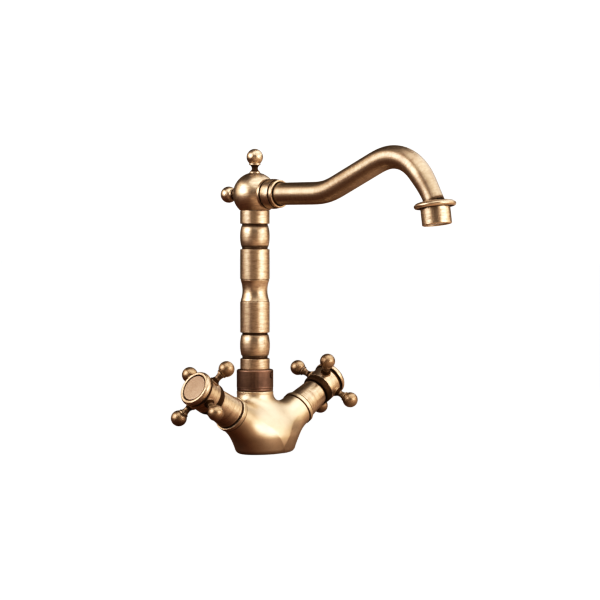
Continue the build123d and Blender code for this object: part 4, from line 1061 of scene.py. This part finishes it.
def floor_finish():
    """Plain pale floor for the camera, and for reflections a dull brown one with a pool of light painted
    on one side.
    """
    pale = bpy.data.materials.new("pale_floor")
    pale.use_nodes = True
    tree = pale.node_tree
    shader = tree.nodes["Principled BSDF"]
    shader.inputs["Base Color"].default_value = colour_of("floor")
    shader.inputs["Roughness"].default_value = 0.9
    shader.inputs["Specular IOR Level"].default_value = 0.0
    seen = tree.nodes.new("ShaderNodeLightPath").outputs["Is Camera Ray"]
    glow = node(tree, "ShaderNodeEmission", Color=(1, 1, 1, 1), Strength=GLOW)
    # Painted pool of light: a warm glow on one side of the floor, seen only in reflections.
    place = node(tree, "ShaderNodeTexCoord").outputs["Object"]
    split = node(tree, "ShaderNodeSeparateXYZ", i0=place)
    way = (cos(VIEW_SIDE + POOL_TURN), sin(VIEW_SIDE + POOL_TURN))
    pool = [sums(tree, "MULTIPLY", split.outputs[i], share) for i, share in enumerate(way)]
    strength = spread(tree, sums(tree, "ADD", *pool), 0.0, POOL_EDGE, 0.0, POOL_GLOW)
    painted_pool = node(tree, "ShaderNodeEmission", Color=colour_of("warm_light"), Strength=strength)
    dull = node(tree, "ShaderNodeAddShader", i0=shader.outputs[0], i1=painted_pool.outputs[0])
    share = sums(tree, "MULTIPLY", seen, GLOW_SHARE)
    mix = node(tree, "ShaderNodeMixShader", i0=share, i1=dull.outputs[0], i2=glow.outputs[0])
    tree.links.new(mix.outputs[0], tree.nodes["Material Output"].inputs["Surface"])
    return pale


def new_floor():
    """Square floor just under the object."""
    mesh = bpy.data.meshes.new("stage_floor")
    signs = ((-1, -1), (1, -1), (1, 1), (-1, 1))
    corners = [(x * FLOOR_REACH, y * FLOOR_REACH, -FLOOR_DROP) for x, y in signs]
    mesh.from_pydata(corners, [], [(0, 1, 2, 3)])
    mesh.materials.append(floor_finish())
    floor = bpy.data.objects.new("stage_floor", mesh)
    bpy.context.scene.collection.objects.link(floor)
    return floor


def new_room():
    """White room for the camera, and a dim warm one for reflections."""
    room = bpy.data.worlds.new("surround")
    room.use_nodes = True
    tree = room.node_tree
    seen = tree.nodes.new("ShaderNodeLightPath").outputs["Is Camera Ray"]
    dim = tree.nodes["Background"]
    dim.inputs["Color"].default_value = colour_of("surround")
    dim.inputs["Strength"].default_value = ROOM_GLOW
    bright = node(tree, "ShaderNodeBackground", Color=(1, 1, 1, 1), Strength=GLOW)
    mix = node(tree, "ShaderNodeMixShader", i0=seen, i1=dim.outputs[0], i2=bright.outputs[0])
    tree.links.new(mix.outputs[0], tree.nodes["World Output"].inputs["Surface"])
    return room


def new_lamp(name, turn, rise, distance, width, tall, brightness, tint):
    """Soft box at a turn from the viewer and a rise, looking at the middle of the object."""
    light = bpy.data.lights.new(name, "AREA")
    light.shape, light.size, light.size_y = "RECTANGLE", width, tall
    light.energy = brightness * pi * width * tall
    light.color = tint
    angle, lift = VIEW_SIDE + radians(turn), radians(rise)
    lamp = bpy.data.objects.new(name, light)
    level = distance * cos(lift)
    lamp.location = (level * cos(angle), level * sin(angle), LIGHTS_MEET + distance * sin(lift))
    aim(lamp, (0, 0, LIGHTS_MEET))
    bpy.context.scene.collection.objects.link(lamp)
    return lamp


def new_camera():
    """Camera at its place, looking a little down along its aim."""
    eye = bpy.data.cameras.new("studio_camera")
    eye.lens, eye.sensor_width = CAMERA_LENS, 36.0
    camera = bpy.data.objects.new("studio_camera", eye)
    camera.location = CAMERA_PLACE
    ahead = (CAMERA_AIM[0] * cos(CAMERA_DIP), CAMERA_AIM[1] * cos(CAMERA_DIP), -sin(CAMERA_DIP))
    aim(camera, camera.location + Vector(ahead))
    bpy.context.scene.collection.objects.link(camera)
    return camera


class MIXER_OT_stage(Operator):
    """Plain pale floor and room, soft boxes, the camera and the picture's contrast"""

    bl_idname = "mixer.stage"
    bl_label = "Stage"

    def execute(self, context):
        scene = bpy.context.scene
        floor = new_floor()
        scene.world = new_room()
        lamps = [new_lamp(*light) for light in LIGHTS]
        scene.camera = new_camera()
        scene.view_settings.view_transform = "Standard"
        scene.view_settings.use_curve_mapping = True
        contrast = scene.view_settings.curve_mapping
        for level, shown in CONTRAST:
            contrast.curves[3].points.new(level, shown)
        contrast.update()
        return {"FINISHED"}


class MIXER_PT_panel(Panel):
    """Sizes, colours and the steps that build the mixer"""

    bl_idname = "MIXER_PT_panel"
    bl_label = "Basin mixer"
    bl_space_type = "VIEW_3D"
    bl_region_type = "UI"
    bl_category = "Mixer"

    def draw(self, context):
        for group in (context.scene.mixer_sizes, context.scene.mixer_colours):
            box = self.layout.box()
            for key in group.__annotations__:
                box.prop(group, key)
        for step in STEPS:
            self.layout.operator(step.bl_idname)


STEPS = (
    MIXER_OT_body,
    MIXER_OT_nut,
    MIXER_OT_column,
    MIXER_OT_globe,
    MIXER_OT_spout,
    MIXER_OT_handles,
    MIXER_OT_kept,
    MIXER_OT_stage,
)
CLASSES = (MixerSizes, MixerColours, *STEPS, MIXER_PT_panel)


def register():
    """Add the mixer's classes and its groups of sizes and colours."""
    for each in CLASSES:
        bpy.utils.register_class(each)
    bpy.types.Scene.mixer_sizes = PointerProperty(type=MixerSizes)
    bpy.types.Scene.mixer_colours = PointerProperty(type=MixerColours)


def unregister():
    """Take them away again."""
    del bpy.types.Scene.mixer_sizes, bpy.types.Scene.mixer_colours
    for each in reversed(CLASSES):
        bpy.utils.unregister_class(each)


def main():
    """Build every piece and the stage."""
    register()
    bpy.ops.mixer.body()
    bpy.ops.mixer.nut()
    bpy.ops.mixer.column()
    bpy.ops.mixer.globe()
    bpy.ops.mixer.spout()
    bpy.ops.mixer.handles()
    bpy.ops.mixer.kept()
    bpy.ops.mixer.stage()


if __name__ == "__main__":
    main()
